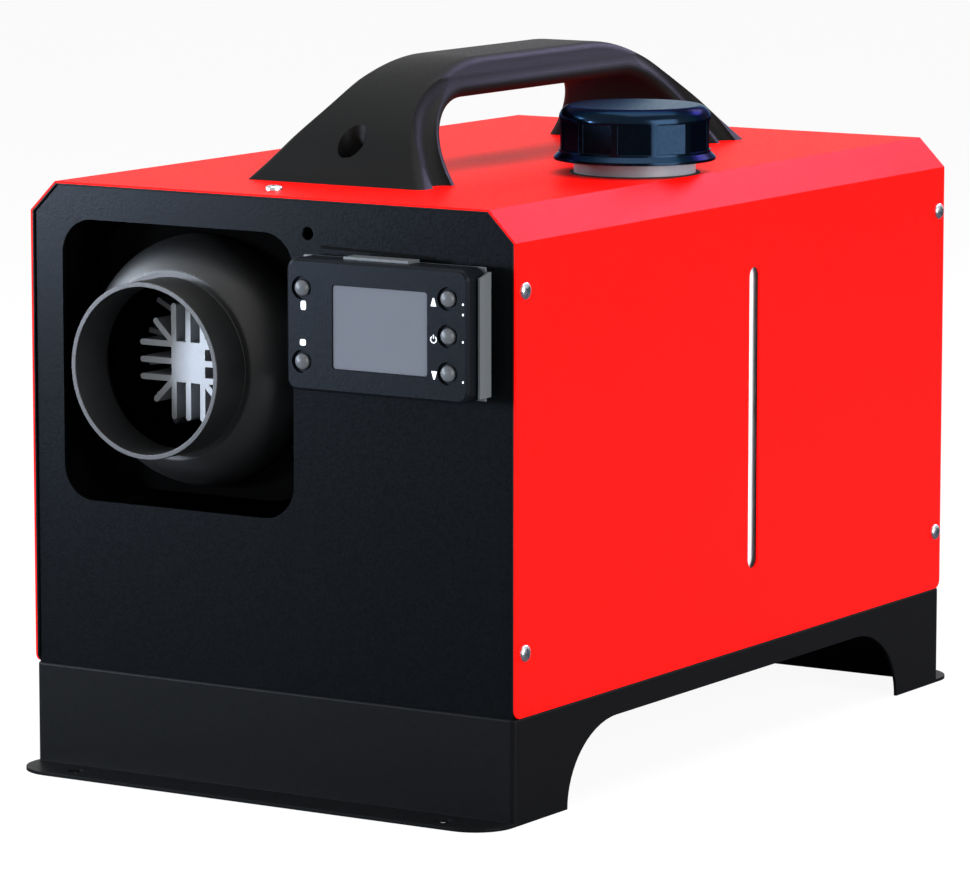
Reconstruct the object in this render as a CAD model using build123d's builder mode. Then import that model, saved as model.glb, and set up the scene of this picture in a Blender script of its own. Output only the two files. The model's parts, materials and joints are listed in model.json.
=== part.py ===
from build123d import *
from math import cos, radians, sin, sqrt, tan
import os

os.makedirs("parts", exist_ok=True)

# Millimetres. X is to the right seen from the front, Y to the back, Z up.
# The origin is the middle of the footprint, on the floor.

# Body
body_width = 245.0
body_depth = 375.0
body_top = 255.0
base_height = 45.0
sheet = 1.5
fold_leg = 13.0  # leg of the 45 degree folds along the cover's top
fit_gap = 0.2  # between sheets and mouldings that slide into each other
seat_gap = 0.3  # between round or soft parts and their seats
shaft_gap = 0.05  # radial play of the rotor's shaft and what it carries

# Base frame
flange_reach = 20.0
flange_corner = 18.0
base_bend = 3.0
edge_bend = 1.2
arch_flat_half = 106.0
arch_end = 40.0
arch_height = 33.7
bolt_inset_x = 28.5  # base bolt hole from the side
bolt_reach_y = 10.5  # base bolt hole out from the front or back wall
base_bolt_radius = 3.5

# Panels and their windows
panel_recess = 1.0
panel_flange = 22.0
window_width = 119.0
window_height = 121.2
window_corner = 15.0
window_margin = 16.0  # from the cover's left side
window_drop = 15.7  # from the top
sensor_hole_radius = 2.8
sensor_hole_gap = 7.5  # right of the window
sensor_hole_drop = 15.1

# Cover
slot_length = 133.5
slot_width = 8.6
slot_y = 9.9
slot_drop = 108.6  # middle of the level slot below the top
side_screw_inset = 6.5  # from the front or back edge
side_screw_low = 27.0  # above the base
side_screw_drop = 33.0  # below the top
top_screw_x = -8.8
top_screw_inset = 18.7
screw_radius = 2.0
screw_head_radius = 3.7
screw_head_height = 2.2
cover_corner = 4.0

# Handle
handle_length = 276.0
handle_height = 49.5
handle_slope = 48.0  # degrees
handle_bend = 105.0
foot_half_width = 45.0
waist_half_width = 28.0
waist_height = 25.0
grip_half_width = 17.0
hand_gap_length = 220.0
hand_gap_height = 33.0
hand_gap_bend = 44.0
handle_bolt_inset = 16.0  # from the foot's tip
handle_bolt_radius = 2.5
handle_bolt_head = 4.5
handle_bolt_well = 6.5
handle_bolt_seat = 5.0  # thickness left under the head
handle_round = 5.0
hand_gap_round = 3.5
valley_radius = 8.0
valley_depth = 3.5
valley_rim = 13.0  # from the hand gap's edge to the middle of the valley

# Tank, neck and cap
bay_gap = 20.3  # between the heater's casing and the tank
tank_front_space = 35.0
tank_back_space = 25.0
tank_top_space = 12.0
tank_side_gap = 2.0
tank_corner = 12.0
tank_wall = 3.0
neck_inset = 38.0  # from the tank's right side
neck_y = -23.0
neck_radius = 26.5
neck_wall = 3.0
neck_hole_radius = 28.5
cap_lift = 6.0  # cap's lip above the cover
cap_height = 23.6
cap_radius = 33.0
cap_lip_radius = 35.2
cap_lip = 2.4
cap_top_radius = 27.5
cap_bevel = 6.5
cap_wall = 3.0
cap_panels = 12
cap_panel_depth = 1.3
cap_rib = 3.0
gasket_thickness = 2.4
breather_radius = 8.0
breather_thickness = 3.0

# Controller
controller_width = 89.0
controller_height = 55.0
controller_inset = 56.0  # middle, from the cover's right side
controller_drop = 50.5  # middle below the top
controller_reach = 19.0  # face in front of the panel
controller_corner = 5.0
controller_bevel = 1.2
controller_wall = 1.6
controller_face = 2.0
controller_back_gap = 5.9  # bracket plate in front of the panel
bracket_sheet = 1.2
bracket_flange = 8.4
bracket_flange_height = 51.3
bracket_tab_width = 32.0
back_thickness = 1.8
board_thickness = 1.5
display_width = 46.5
display_height = 35.0
display_shift = 1.5
button_side = 36.9  # outer buttons from the controller's middle
button_rows = 15.3  # upper and lower buttons from the middle
button_radius = 3.2
button_well_radius = 4.8
button_well_depth = 1.2
button_travel = 0.8
button_rise = 0.8

# Heater
heater_shift_x = -2.3  # heater's axis from the window's middle
heater_shift_z = 0.9
duct_radius = 37.7
duct_wall = 2.2
duct_reach = 19.9  # mouth in front of the cover's edge
stub_length = 20.4
hood_radius = 54.0
hood_wall = 2.5
hood_setback = 30.5  # back of the hood's flange behind the cover's edge
hood_flange = 3.0
hood_straight = 3.0
casing_width = 112.0
casing_height = 118.0
casing_corner = 24.0
casing_wall = 2.2
exchanger_radius = 28.0
exchanger_wall = 3.0
exchanger_fins = 20
fin_thickness = 2.2
fin_radius = 46.0
nose_reach = 25.0
nose_length = 25.0
nose_square = 15.6
nose_pitch = 7.4
nose_arm = 2.6
exchanger_setback = 7.0
exchanger_flange = 14.0
exchanger_flange_radius = 40.0
port_radius = 12.0
port_wall = 2.5
port_inset = 40.0  # exhaust port ahead of the exchanger's rear face
burner_radius = 20.0
burner_wall = 1.5
blower_radius = 42.0
blower_length = 34.0
impeller_radius = 33.0
impeller_depth = 10.0
impeller_blades = 12
motor_radius = 22.0
motor_length = 36.0
control_width = 58.0
shaft_radius = 3.0
fan_radius = 49.0
fan_hub_radius = 14.0
fan_depth = 16.0
fan_blades = 9
fan_back_space = 19.0
fan_motor_gap = 12.0
grille_depth = 3.0
grille_inset = 8.0

burner_setback = 45.0
stand_ahead = 45.0  # from the exhaust port
stand_behind = 29.0  # from the fuel port
stand_foot = 14.0
stand_clearance = 1.3
fuel_port_side = 27.0
fuel_port_back = 14.0

# Fuel line, under the heater
pump_radius = 14.0
pump_length = 42.0
pump_inset = 19.5  # axis from the cover's left side
pump_height = 17.0  # axis above the deck
plunger_radius = 5.0
plunger_length = 14.0
plunger_travel = 3.0
filter_radius = 9.0
filter_length = 34.0
nipple_radius = 2.9
nipple_length = 13.0
hose_radius = 5.0
hose_bore = 3.0
hose_overlap = 9.0
outlet_setback = 30.0  # behind the tank's front
outlet_reach = 20.0  # tip beyond the partition
filter_space = 28.0  # from the tank's outlet
hose_space = 6.0  # between the nipples of filter and pump
tank_hose_bend = 14.0
heater_hose_bend = 12.0
mount_ring = 2.7
mount_width = 24.0
mount_length = 16.0

# Power inlet and supply
power_inlet_x = 26.0  # from the window's left edge
power_inlet_rise = 46.0
power_inlet_width = 27.0
power_inlet_height = 20.0
supply_width = 112.0
supply_height = 36.0
supply_gap = 4.0
supply_back_gap = 6.0

# Values that follow from the sizes above
half_width = body_width / 2
half_depth = body_depth / 2
pump_x = pump_inset - half_width
inner_x = half_width - sheet
deck_z = base_height
inner_top = body_top - sheet
panel_y = half_depth - panel_recess
window_x = -half_width + window_margin + window_width / 2
window_z = body_top - window_drop - window_height / 2
heater_x = window_x + heater_shift_x
heater_z = window_z + heater_shift_z
sensor_hole_x = window_x + window_width / 2 + sensor_hole_gap
controller_x = half_width - controller_inset
tank_right = inner_x - tank_side_gap
neck_x = tank_right - neck_inset
mouth_y = half_depth + duct_reach
casing_y = half_depth - hood_setback
casing_bottom = heater_z - casing_height / 2
heater_axis = Axis((heater_x, 0, heater_z), (0, 1, 0))
# In this plane the first coordinate runs along the heater's axis and the second is the radius.
heater_section = Plane(origin=(heater_x, 0, heater_z), x_dir=(0, 1, 0), z_dir=(1, 0, 0))


def front_plane(y):
    """Plane at y that faces the front; its own coordinates are X and Z."""
    return Plane.XZ.offset(-y)


def body_outline(inset, bottom=base_height):
    """Section of the cover seen from the front, drawn in by an inset, down to the base."""
    w = half_width - inset
    top = body_top - inset
    leg = fold_leg - inset * (2 - sqrt(2))
    with BuildSketch(Plane.XY) as outline:
        with BuildLine():
            Polyline(
                (-w, bottom),
                (w, bottom),
                (w, top - leg),
                (w - leg, top),
                (leg - w, top),
                (-w, top - leg),
                close=True,
            )
        make_face()
    return outline.sketch


def casing_outline(inset):
    """Rounded section of the heater's casing, drawn in by an inset."""
    with BuildSketch(Plane.XY) as outline:
        with Locations((heater_x, heater_z)):
            RectangleRounded(
                casing_width - 2 * inset,
                casing_height - 2 * inset,
                casing_corner - inset,
            )
    return outline.sketch


# Base frame: a tray turned upside down, with arched sides and screw-down flanges
bolt_x = half_width - bolt_inset_x
bolt_y = half_depth + bolt_reach_y
exchanger_rear = casing_y - fan_back_space - fan_depth - fan_motor_gap - motor_length - blower_length
exhaust_y = exchanger_rear - port_inset
air_y = exchanger_rear + blower_length * 0.45
pipe_hole_radius = port_radius + 1.0

with BuildPart() as base_frame:
    with BuildSketch() as tray:
        Rectangle(body_width, body_depth)
        fillet(tray.vertices(), base_bend)
    extrude(amount=base_height)
    fillet(base_frame.edges().filter_by(Axis.X).group_by(Axis.Z)[-1], edge_bend)
    with BuildSketch():
        Rectangle(body_width - 2 * sheet, body_depth - 2 * sheet)
    extrude(amount=base_height - sheet, mode=Mode.SUBTRACT)
    with BuildSketch() as flanges:
        Rectangle(body_width, body_depth + 2 * flange_reach)
        fillet(flanges.vertices(), flange_corner)
        Rectangle(body_width, body_depth - 2 * sheet, mode=Mode.SUBTRACT)
    extrude(amount=sheet)
    with BuildSketch(Plane.YZ):
        Rectangle(2 * arch_flat_half, 2 * arch_height)
        with Locations((arch_flat_half, 0), (-arch_flat_half, 0)):
            Ellipse(arch_end, arch_height)
    extrude(amount=body_width, both=True, mode=Mode.SUBTRACT)
    with BuildSketch():
        with GridLocations(2 * bolt_x, 2 * bolt_y, 2, 2):
            Circle(base_bolt_radius)
        with Locations((heater_x, exhaust_y), (heater_x, air_y)):
            Circle(pipe_hole_radius)
    extrude(amount=base_height, mode=Mode.SUBTRACT)
base_frame.part.label = "base_frame"
export_step(base_frame.part, "parts/base_frame.step")

# Cover: one sheet folded over both sides and the top
side_screws = [
    (y, z)
    for y in (side_screw_inset - half_depth, half_depth - side_screw_inset)
    for z in (base_height + side_screw_low, body_top - side_screw_drop)
]
top_screws = [(top_screw_x, y) for y in (top_screw_inset - half_depth, half_depth - top_screw_inset)]
handle_bolts_y = handle_length / 2 - handle_bolt_inset

with BuildPart() as shell_cover:
    with BuildSketch(Plane.XZ):
        add(body_outline(0))
        add(body_outline(sheet), mode=Mode.SUBTRACT)
    extrude(amount=half_depth, both=True)
    fillet(shell_cover.edges().filter_by(Axis.X).group_by(Axis.Z)[0], cover_corner)
    with BuildSketch(Plane.YZ.offset(half_width)):
        with Locations((slot_y, body_top - slot_drop)):
            SlotOverall(slot_length, slot_width, rotation=90)
    extrude(amount=-2 * sheet, mode=Mode.SUBTRACT)
    with BuildSketch(Plane.YZ):
        with Locations(side_screws):
            Circle(screw_radius + fit_gap)
    extrude(amount=body_width, both=True, mode=Mode.SUBTRACT)
    with BuildSketch(Plane.XY.offset(body_top)):
        with Locations(top_screws):
            Circle(screw_radius + fit_gap)
        with Locations((0, handle_bolts_y), (0, -handle_bolts_y)):
            Circle(handle_bolt_radius + fit_gap)
        with Locations((neck_x, neck_y)):
            Circle(neck_hole_radius)
    extrude(amount=-2 * sheet, mode=Mode.SUBTRACT)
shell_cover.part.label = "shell_cover"
export_step(shell_cover.part, "parts/shell_cover.step")

# Front and rear panels: plates with a return flange all round, inside the cover's ends
controller_z = body_top - controller_drop
bracket_hole_x = controller_width / 4
bracket_screw_radius = 1.5
cable_hole_radius = 6.0
inlet_x = window_x - window_width / 2 + power_inlet_x
inlet_z = base_height + power_inlet_rise
inlet_width = power_inlet_width
inlet_height = power_inlet_height


def panel_blank():
    """Plate and flange of the front panel, standing on the base behind its front edge."""
    with BuildPart(Plane.XY) as blank:
        with BuildSketch(front_plane(-panel_y)):
            add(body_outline(sheet + fit_gap))
        extrude(amount=-panel_flange - sheet)
        with BuildSketch(front_plane(sheet - panel_y)):
            add(body_outline(2 * sheet + fit_gap, base_height + sheet))
        extrude(amount=-panel_flange - sheet, mode=Mode.SUBTRACT)
        with BuildSketch(front_plane(-panel_y)):
            with Locations((window_x, window_z)):
                RectangleRounded(window_width, window_height, window_corner)
        extrude(amount=-2 * sheet, mode=Mode.SUBTRACT)
        with BuildSketch(Plane.YZ):
            with Locations(side_screws[:2]):
                Circle(screw_radius + fit_gap)
        extrude(amount=body_width, both=True, mode=Mode.SUBTRACT)
        with BuildSketch(Plane.XY.offset(body_top)):
            with Locations(top_screws[0]):
                Circle(screw_radius + fit_gap)
        extrude(amount=-4 * sheet, mode=Mode.SUBTRACT)
    return blank.part


with BuildPart() as front_panel:
    add(panel_blank())
    with BuildSketch(front_plane(-panel_y)):
        with Locations((sensor_hole_x, body_top - sensor_hole_drop)):
            Circle(sensor_hole_radius)
        with Locations((controller_x, controller_z)):
            Circle(cable_hole_radius)
        with Locations(
            (controller_x - bracket_hole_x, controller_z),
            (controller_x + bracket_hole_x, controller_z),
        ):
            Circle(bracket_screw_radius + fit_gap)
    extrude(amount=-2 * sheet, mode=Mode.SUBTRACT)
front_panel.part.label = "front_panel"
export_step(front_panel.part, "parts/front_panel.step")

with BuildPart() as rear_panel:
    mirror(panel_blank(), about=Plane.XZ)
    with BuildSketch(front_plane(panel_y)):
        with Locations((inlet_x, inlet_z)):
            Rectangle(inlet_width + 2 * fit_gap, inlet_height + 2 * fit_gap)
    extrude(amount=2 * sheet, mode=Mode.SUBTRACT)
rear_panel.part.label = "rear_panel"
export_step(rear_panel.part, "parts/rear_panel.step")

# Cover screws: cross-recess pan heads
with BuildPart(mode=Mode.PRIVATE) as pan_screw:
    with BuildSketch(Plane.XZ):
        with BuildLine():
            Line((0, -7), (screw_radius, -7))
            Line((screw_radius, -7), (screw_radius, 0))
            Line((screw_radius, 0), (screw_head_radius, 0))
            Line((screw_head_radius, 0), (screw_head_radius, screw_head_height * 0.4))
            TangentArc(
                (0, screw_head_height),
                (screw_head_radius, screw_head_height * 0.4),
                tangent=(1, 0),
            )
            Line((0, screw_head_height), (0, -7))
        make_face()
    revolve(axis=Axis.Z)
    with BuildSketch(Plane.XY.offset(screw_head_height)):
        Rectangle(screw_head_radius * 1.15, 0.9)
        Rectangle(0.9, screw_head_radius * 1.15)
    extrude(amount=-screw_head_height * 0.6, mode=Mode.SUBTRACT)

with BuildPart() as cover_screws:
    for y, z in side_screws:
        for side in (-1, 1):
            with Locations(Plane(origin=(side * half_width, y, z), z_dir=(side, 0, 0))):
                add(pan_screw.part)
    for x, y in top_screws:
        with Locations((x, y, body_top)):
            add(pan_screw.part)
cover_screws.part.label = "cover_screws"
export_step(cover_screws.part, "parts/cover_screws.step")

# Carry handle: side arch cut by its end view, with a channel round the hand gap
handle_tip = handle_length / 2
ridge_half = handle_tip - handle_height / tan(radians(handle_slope))
side_arc = Edge.make_three_point_arc(
    (foot_half_width, 0),
    (waist_half_width, waist_height),
    (grip_half_width, handle_height),
)
side_centre = side_arc.arc_center


def handle_valley():
    """Grooves beside the hand gap's corners, running out at the grip; one for each side of each leg."""
    bend_y = hand_gap_bend - hand_gap_length / 2
    bend_z = hand_gap_height - hand_gap_bend
    reach = hand_gap_bend + valley_rim
    line = []
    for turn, out in ((4, 0.0), (20, 0.0), (36, 0.0), (52, 0.6), (66, 2.2), (80, 4.5)):
        height = bend_z + reach * sin(radians(turn))
        side = side_centre.X - sqrt(side_arc.radius**2 - (height - side_centre.Y) ** 2)
        x = side + valley_radius - valley_depth + out
        line.append((x, bend_y - reach * cos(radians(turn)), body_top + height))
    with BuildPart(Plane.XY) as valley:
        with BuildLine(Plane.XY) as route:
            Spline(*line)
        with BuildSketch(Plane(origin=route.line @ 0, z_dir=route.line % 0)):
            Circle(valley_radius)
        sweep(path=route.line)
        mirror(about=Plane.YZ)
        mirror(about=Plane.XZ)
    return valley.part



with BuildPart() as carry_handle:
    with BuildSketch(Plane.YZ.offset(-foot_half_width)) as arch:
        with BuildLine():
            Polyline(
                (-handle_tip, body_top),
                (handle_tip, body_top),
                (ridge_half, body_top + handle_height),
                (-ridge_half, body_top + handle_height),
                close=True,
            )
        make_face()
        fillet(arch.vertices().group_by(Axis.Y)[-1], handle_bend)
    extrude(amount=2 * foot_half_width)
    with BuildSketch(front_plane(-handle_tip)):
        with BuildLine():
            Line((-foot_half_width, body_top), (foot_half_width, body_top))
            ThreePointArc(
                (foot_half_width, body_top),
                (waist_half_width, body_top + waist_height),
                (grip_half_width, body_top + handle_height),
            )
            Line(
                (grip_half_width, body_top + handle_height),
                (-grip_half_width, body_top + handle_height),
            )
            ThreePointArc(
                (-grip_half_width, body_top + handle_height),
                (-waist_half_width, body_top + waist_height),
                (-foot_half_width, body_top),
            )
        make_face()
    extrude(amount=-handle_length, mode=Mode.INTERSECT)
    upper_edges = carry_handle.edges().filter_by_position(
        Axis.Z,
        body_top + 1.0,
        body_top + handle_height + 1.0,
    )
    fillet(upper_edges, handle_round)
    with BuildSketch(Plane.YZ.offset(-foot_half_width)) as gap:
        with Locations((0, body_top + hand_gap_height)):
            Rectangle(
                hand_gap_length,
                3 * hand_gap_height,
                align=(Align.CENTER, Align.MAX),
            )
        fillet(gap.vertices().group_by(Axis.Y)[-1], hand_gap_bend)
    extrude(amount=2 * foot_half_width, mode=Mode.SUBTRACT)
    gap_edges = carry_handle.edges(Select.LAST).filter_by_position(
        Axis.Z,
        body_top + 1.0,
        body_top + hand_gap_height + 1.0,
    )
    fillet(gap_edges, hand_gap_round)
    add(handle_valley(), mode=Mode.SUBTRACT)
    for y in (-handle_bolts_y, handle_bolts_y):
        with Locations((0, y, body_top + handle_height)):
            CounterBoreHole(
                radius=handle_bolt_radius + fit_gap,
                counter_bore_radius=handle_bolt_well,
                counter_bore_depth=handle_height - handle_bolt_seat,
                depth=handle_height + 1,
            )
carry_handle.part.label = "carry_handle"
export_step(carry_handle.part, "parts/carry_handle.step")

# Handle bolts, down through the feet and the cover into flange nuts
with BuildPart() as handle_bolts:
    for y in (-handle_bolts_y, handle_bolts_y):
        with BuildSketch(Plane.XY.offset(body_top + handle_bolt_seat)):
            with Locations((0, y)):
                Circle(handle_bolt_head)
        extrude(amount=2 * handle_bolt_radius)
        with BuildSketch(Plane.XY.offset(body_top + handle_bolt_seat + 2 * handle_bolt_radius)):
            with Locations((0, y)):
                RegularPolygon(handle_bolt_radius, 6)
        extrude(amount=-handle_bolt_radius, mode=Mode.SUBTRACT)
        with BuildSketch(Plane.XY.offset(body_top + handle_bolt_seat)):
            with Locations((0, y)):
                Circle(handle_bolt_radius)
        extrude(amount=-handle_bolt_seat - sheet - 6)
handle_bolts.part.label = "handle_bolts"
export_step(handle_bolts.part, "parts/handle_bolts.step")

with BuildPart() as handle_nuts:
    with BuildSketch(Plane.XY.offset(inner_top)):
        with Locations((0, handle_bolts_y), (0, -handle_bolts_y)):
            Circle(2.2 * handle_bolt_radius)
            Circle(handle_bolt_radius + shaft_gap, mode=Mode.SUBTRACT)
    extrude(amount=-1.2)
    with BuildSketch(Plane.XY.offset(inner_top - 1.2)):
        with Locations((0, handle_bolts_y), (0, -handle_bolts_y)):
            RegularPolygon(1.75 * handle_bolt_radius, 6)
            Circle(handle_bolt_radius + shaft_gap, mode=Mode.SUBTRACT)
    extrude(amount=-3.6)
handle_nuts.part.label = "handle_nuts"
export_step(handle_nuts.part, "parts/handle_nuts.step")

# Fuel tank: blow-moulded, standing on the deck, with its neck through the cover
tank_left = heater_x + casing_width / 2 + bay_gap
tank_width = tank_right - tank_left
tank_front = tank_front_space + sheet - half_depth
tank_back = half_depth - tank_back_space - sheet
tank_top = body_top - tank_top_space
tank_x = (tank_left + tank_right) / 2
tank_y = (tank_front + tank_back) / 2
cap_base = body_top + cap_lift
cap_top = cap_base + cap_height
cap_ceiling = cap_top - cap_wall
neck_rim = cap_ceiling - gasket_thickness - 2 * seat_gap
outlet_y = tank_front + outlet_setback
outlet_z = deck_z + pump_height
outlet_stub = 5.0


def tank_block(inset):
    """The tank's rounded body, drawn in by an inset on all sides."""
    with BuildPart(Plane.XY) as block:
        with BuildSketch(Plane.XY.offset(deck_z + inset)):
            with Locations((tank_x, tank_y)):
                Rectangle(tank_width - 2 * inset, tank_back - tank_front - 2 * inset)
        extrude(amount=tank_top - deck_z - 2 * inset)
        fillet(block.edges(), tank_corner - inset)
    return block.part


with BuildPart() as fuel_tank:
    add(tank_block(0))
    with BuildSketch(Plane.XY.offset(tank_top - tank_wall)):
        with Locations((neck_x, neck_y)):
            Circle(neck_radius)
    extrude(amount=neck_rim - tank_top + tank_wall)
    add(tank_block(tank_wall), mode=Mode.SUBTRACT)
    with BuildSketch(Plane.XY.offset(neck_rim)):
        with Locations((neck_x, neck_y)):
            Circle(neck_radius - neck_wall)
    extrude(amount=tank_top - 2 * tank_wall - neck_rim, mode=Mode.SUBTRACT)
    with BuildSketch(Plane.YZ.offset(tank_left)):
        with Locations((outlet_y, outlet_z)):
            Circle(outlet_stub + fit_gap)
    extrude(amount=2 * tank_wall, mode=Mode.SUBTRACT)
fuel_tank.part.label = "fuel_tank"
export_step(fuel_tank.part, "parts/fuel_tank.step")

with BuildPart() as neck_grommet:
    with BuildSketch(Plane.XY.offset(inner_top)):
        with Locations((neck_x, neck_y)):
            Circle(neck_hole_radius + 2.5)
    extrude(amount=-3.0)
    with BuildSketch(front_plane(0)):
        add(body_outline(sheet))
    extrude(amount=half_depth, both=True, mode=Mode.INTERSECT)
    with BuildSketch(Plane.XY.offset(inner_top - 1.0)):
        with Locations((neck_x, neck_y)):
            Circle(neck_hole_radius - fit_gap)
    extrude(amount=sheet + 1.4)
    with BuildSketch(Plane.XY.offset(inner_top - 3.0)):
        with Locations((neck_x, neck_y)):
            Circle(neck_radius + seat_gap)
    extrude(amount=sheet + 4.0, mode=Mode.SUBTRACT)
neck_grommet.part.label = "neck_grommet"
export_step(neck_grommet.part, "parts/neck_grommet.step")

# Fuel cap: bevelled crown, flared lip and twelve grip panels between narrow ribs
cap_plane = Plane(origin=(neck_x, neck_y, 0), x_dir=(1, 0, 0), z_dir=(0, -1, 0))
cap_axis = Axis((neck_x, neck_y, 0), (0, 0, 1))
cap_bore = neck_radius + 1.5

with BuildPart() as fuel_cap:
    with BuildSketch(cap_plane):
        with BuildLine():
            Polyline(
                (0, cap_base),
                (cap_lip_radius, cap_base),
                (cap_lip_radius, cap_base + cap_lip * 0.5),
                (cap_radius, cap_base + cap_lip * 1.4),
                (cap_radius, cap_top - cap_bevel),
            )
            ThreePointArc(
                (cap_radius, cap_top - cap_bevel),
                (
                    cap_top_radius + (cap_radius - cap_top_radius) * 0.78,
                    cap_top - cap_bevel * 0.34,
                ),
                (cap_top_radius, cap_top),
            )
            Polyline((cap_top_radius, cap_top), (0, cap_top), (0, cap_base))
        make_face()
    revolve(axis=cap_axis)
    panel_angle = 360 / cap_panels
    panel_half = radians(panel_angle / 2) * cap_radius - cap_rib / 2
    panel_bottom = cap_base + cap_lip * 1.4 + 1.0
    panel_top = cap_top - cap_bevel
    with BuildSketch(Plane.XY.offset(panel_bottom)):
        with Locations((neck_x, neck_y)):
            with PolarLocations(cap_radius, cap_panels):
                Rectangle(2 * cap_panel_depth, 2 * panel_half)
    extrude(amount=panel_top - panel_bottom, mode=Mode.SUBTRACT)
    with BuildSketch(Plane.XY.offset(cap_base)):
        with Locations((neck_x, neck_y)):
            Circle(cap_bore)
    extrude(amount=cap_height - cap_wall, mode=Mode.SUBTRACT)
fuel_cap.part.label = "fuel_cap"
export_step(fuel_cap.part, "parts/fuel_cap.step")

with BuildPart() as cap_gasket:
    with BuildSketch(Plane.XY.offset(neck_rim + seat_gap)):
        with Locations((neck_x, neck_y)):
            Circle(neck_radius)
            Circle(neck_radius - neck_wall - 2.5, mode=Mode.SUBTRACT)
    extrude(amount=gasket_thickness)
cap_gasket.part.label = "cap_gasket"
export_step(cap_gasket.part, "parts/cap_gasket.step")

with BuildPart() as cap_breather:
    with BuildSketch(Plane.XY.offset(cap_ceiling - seat_gap)):
        with Locations((neck_x, neck_y)):
            Circle(breather_radius)
    extrude(amount=-breather_thickness)
    fillet(cap_breather.edges().group_by(Axis.Z)[0], 1.0)
cap_breather.part.label = "cap_breather"
export_step(cap_breather.part, "parts/cap_breather.step")

# Partition between the heater bay and the tank; its top flange holds the tank down
partition_x = tank_left - 4.0
partition_front = tank_front - 8.0
partition_back = tank_back
outlet_boss = 7.0

with BuildPart() as partition_plate:
    with BuildSketch(Plane.YZ.offset(partition_x)):
        with Locations(((partition_front + partition_back) / 2, deck_z)):
            Rectangle(
                partition_back - partition_front,
                tank_top - deck_z + bracket_sheet,
                align=(Align.CENTER, Align.MIN),
            )
        with Locations((outlet_y, outlet_z)):
            Circle(outlet_boss + 2.0, mode=Mode.SUBTRACT)
    extrude(amount=bracket_sheet)
    with BuildSketch(Plane.XY.offset(tank_top)):
        with Locations((partition_x, (partition_front + partition_back) / 2)):
            Rectangle(
                22,
                partition_back - partition_front,
                align=(Align.MIN, Align.CENTER),
            )
    extrude(amount=bracket_sheet)
    with BuildSketch(Plane.XY.offset(deck_z)):
        with Locations((partition_x + bracket_sheet, (partition_front + partition_back) / 2)):
            Rectangle(
                14,
                partition_back - partition_front,
                align=(Align.MAX, Align.CENTER),
            )
    extrude(amount=bracket_sheet)
partition_plate.part.label = "partition_plate"
export_step(partition_plate.part, "parts/partition_plate.step")

# Controller, on its bracket in front of the panel
bracket_back_y = -panel_y - controller_back_gap + bracket_sheet
bracket_face_y = bracket_back_y - bracket_sheet
controller_front_y = -panel_y - controller_reach
back_face_y = bracket_face_y - back_thickness
housing_right = controller_x + controller_width / 2

with BuildPart() as controller_bracket:
    with BuildSketch(front_plane(bracket_back_y)):
        with Locations((controller_x, controller_z)):
            Rectangle(controller_width, controller_height)
        with Locations((housing_right, controller_z)):
            Rectangle(1.0 + bracket_sheet, bracket_flange_height, align=(Align.MIN, Align.CENTER))
        with Locations((controller_x, controller_z)):
            Circle(cable_hole_radius, mode=Mode.SUBTRACT)
    extrude(amount=bracket_sheet)
    with BuildSketch(Plane.YZ.offset(housing_right + 1.0)):
        with BuildLine():
            low = controller_z - bracket_flange_height / 2
            high = controller_z + bracket_flange_height / 2
            Polyline(
                (bracket_back_y, low),
                (bracket_back_y, high),
                (bracket_back_y - bracket_sheet, high),
                (bracket_back_y - bracket_flange, high - 2.0),
                (bracket_back_y - bracket_flange, low),
                close=True,
            )
        make_face()
    extrude(amount=bracket_sheet)
    with BuildSketch(Plane.XY.offset(controller_z + controller_height / 2)):
        with Locations((controller_x - 4.0, bracket_back_y)):
            Rectangle(bracket_tab_width, bracket_flange, align=(Align.CENTER, Align.MAX))
    extrude(amount=bracket_sheet)
    for x in (controller_x - bracket_hole_x, controller_x + bracket_hole_x):
        with BuildSketch(front_plane(-panel_y)):
            with Locations((x, controller_z)):
                Circle(4.5)
        extrude(amount=controller_back_gap - bracket_sheet)
        with BuildSketch(front_plane(-panel_y)):
            with Locations((x, controller_z)):
                Circle(bracket_screw_radius + fit_gap)
        extrude(amount=controller_back_gap, mode=Mode.SUBTRACT)
controller_bracket.part.label = "controller_bracket"
export_step(controller_bracket.part, "parts/controller_bracket.step")

with BuildPart() as bracket_screws:
    with BuildSketch(front_plane(bracket_face_y + fit_gap)):
        with Locations(
            (controller_x - bracket_hole_x, controller_z),
            (controller_x + bracket_hole_x, controller_z),
        ):
            Circle(bracket_screw_radius)
    extrude(amount=-controller_back_gap - 2 * sheet)
    with BuildSketch(front_plane(sheet - panel_y)):
        with Locations(
            (controller_x - bracket_hole_x, controller_z),
            (controller_x + bracket_hole_x, controller_z),
        ):
            RegularPolygon(2 * bracket_screw_radius, 6)
    extrude(amount=-2.4)
bracket_screws.part.label = "bracket_screws"
export_step(bracket_screws.part, "parts/bracket_screws.step")

button_names = ["settings_button", "ok_button", "up_button", "power_button", "down_button"]
button_places = [
    (controller_x - button_side, controller_z + button_rows),
    (controller_x - button_side, controller_z - button_rows),
    (controller_x + button_side - 2.4, controller_z + button_rows),
    (controller_x + button_side - 2.4, controller_z),
    (controller_x + button_side - 2.4, controller_z - button_rows),
]
display_x = controller_x + display_shift
controller_rear_y = back_face_y

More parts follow.
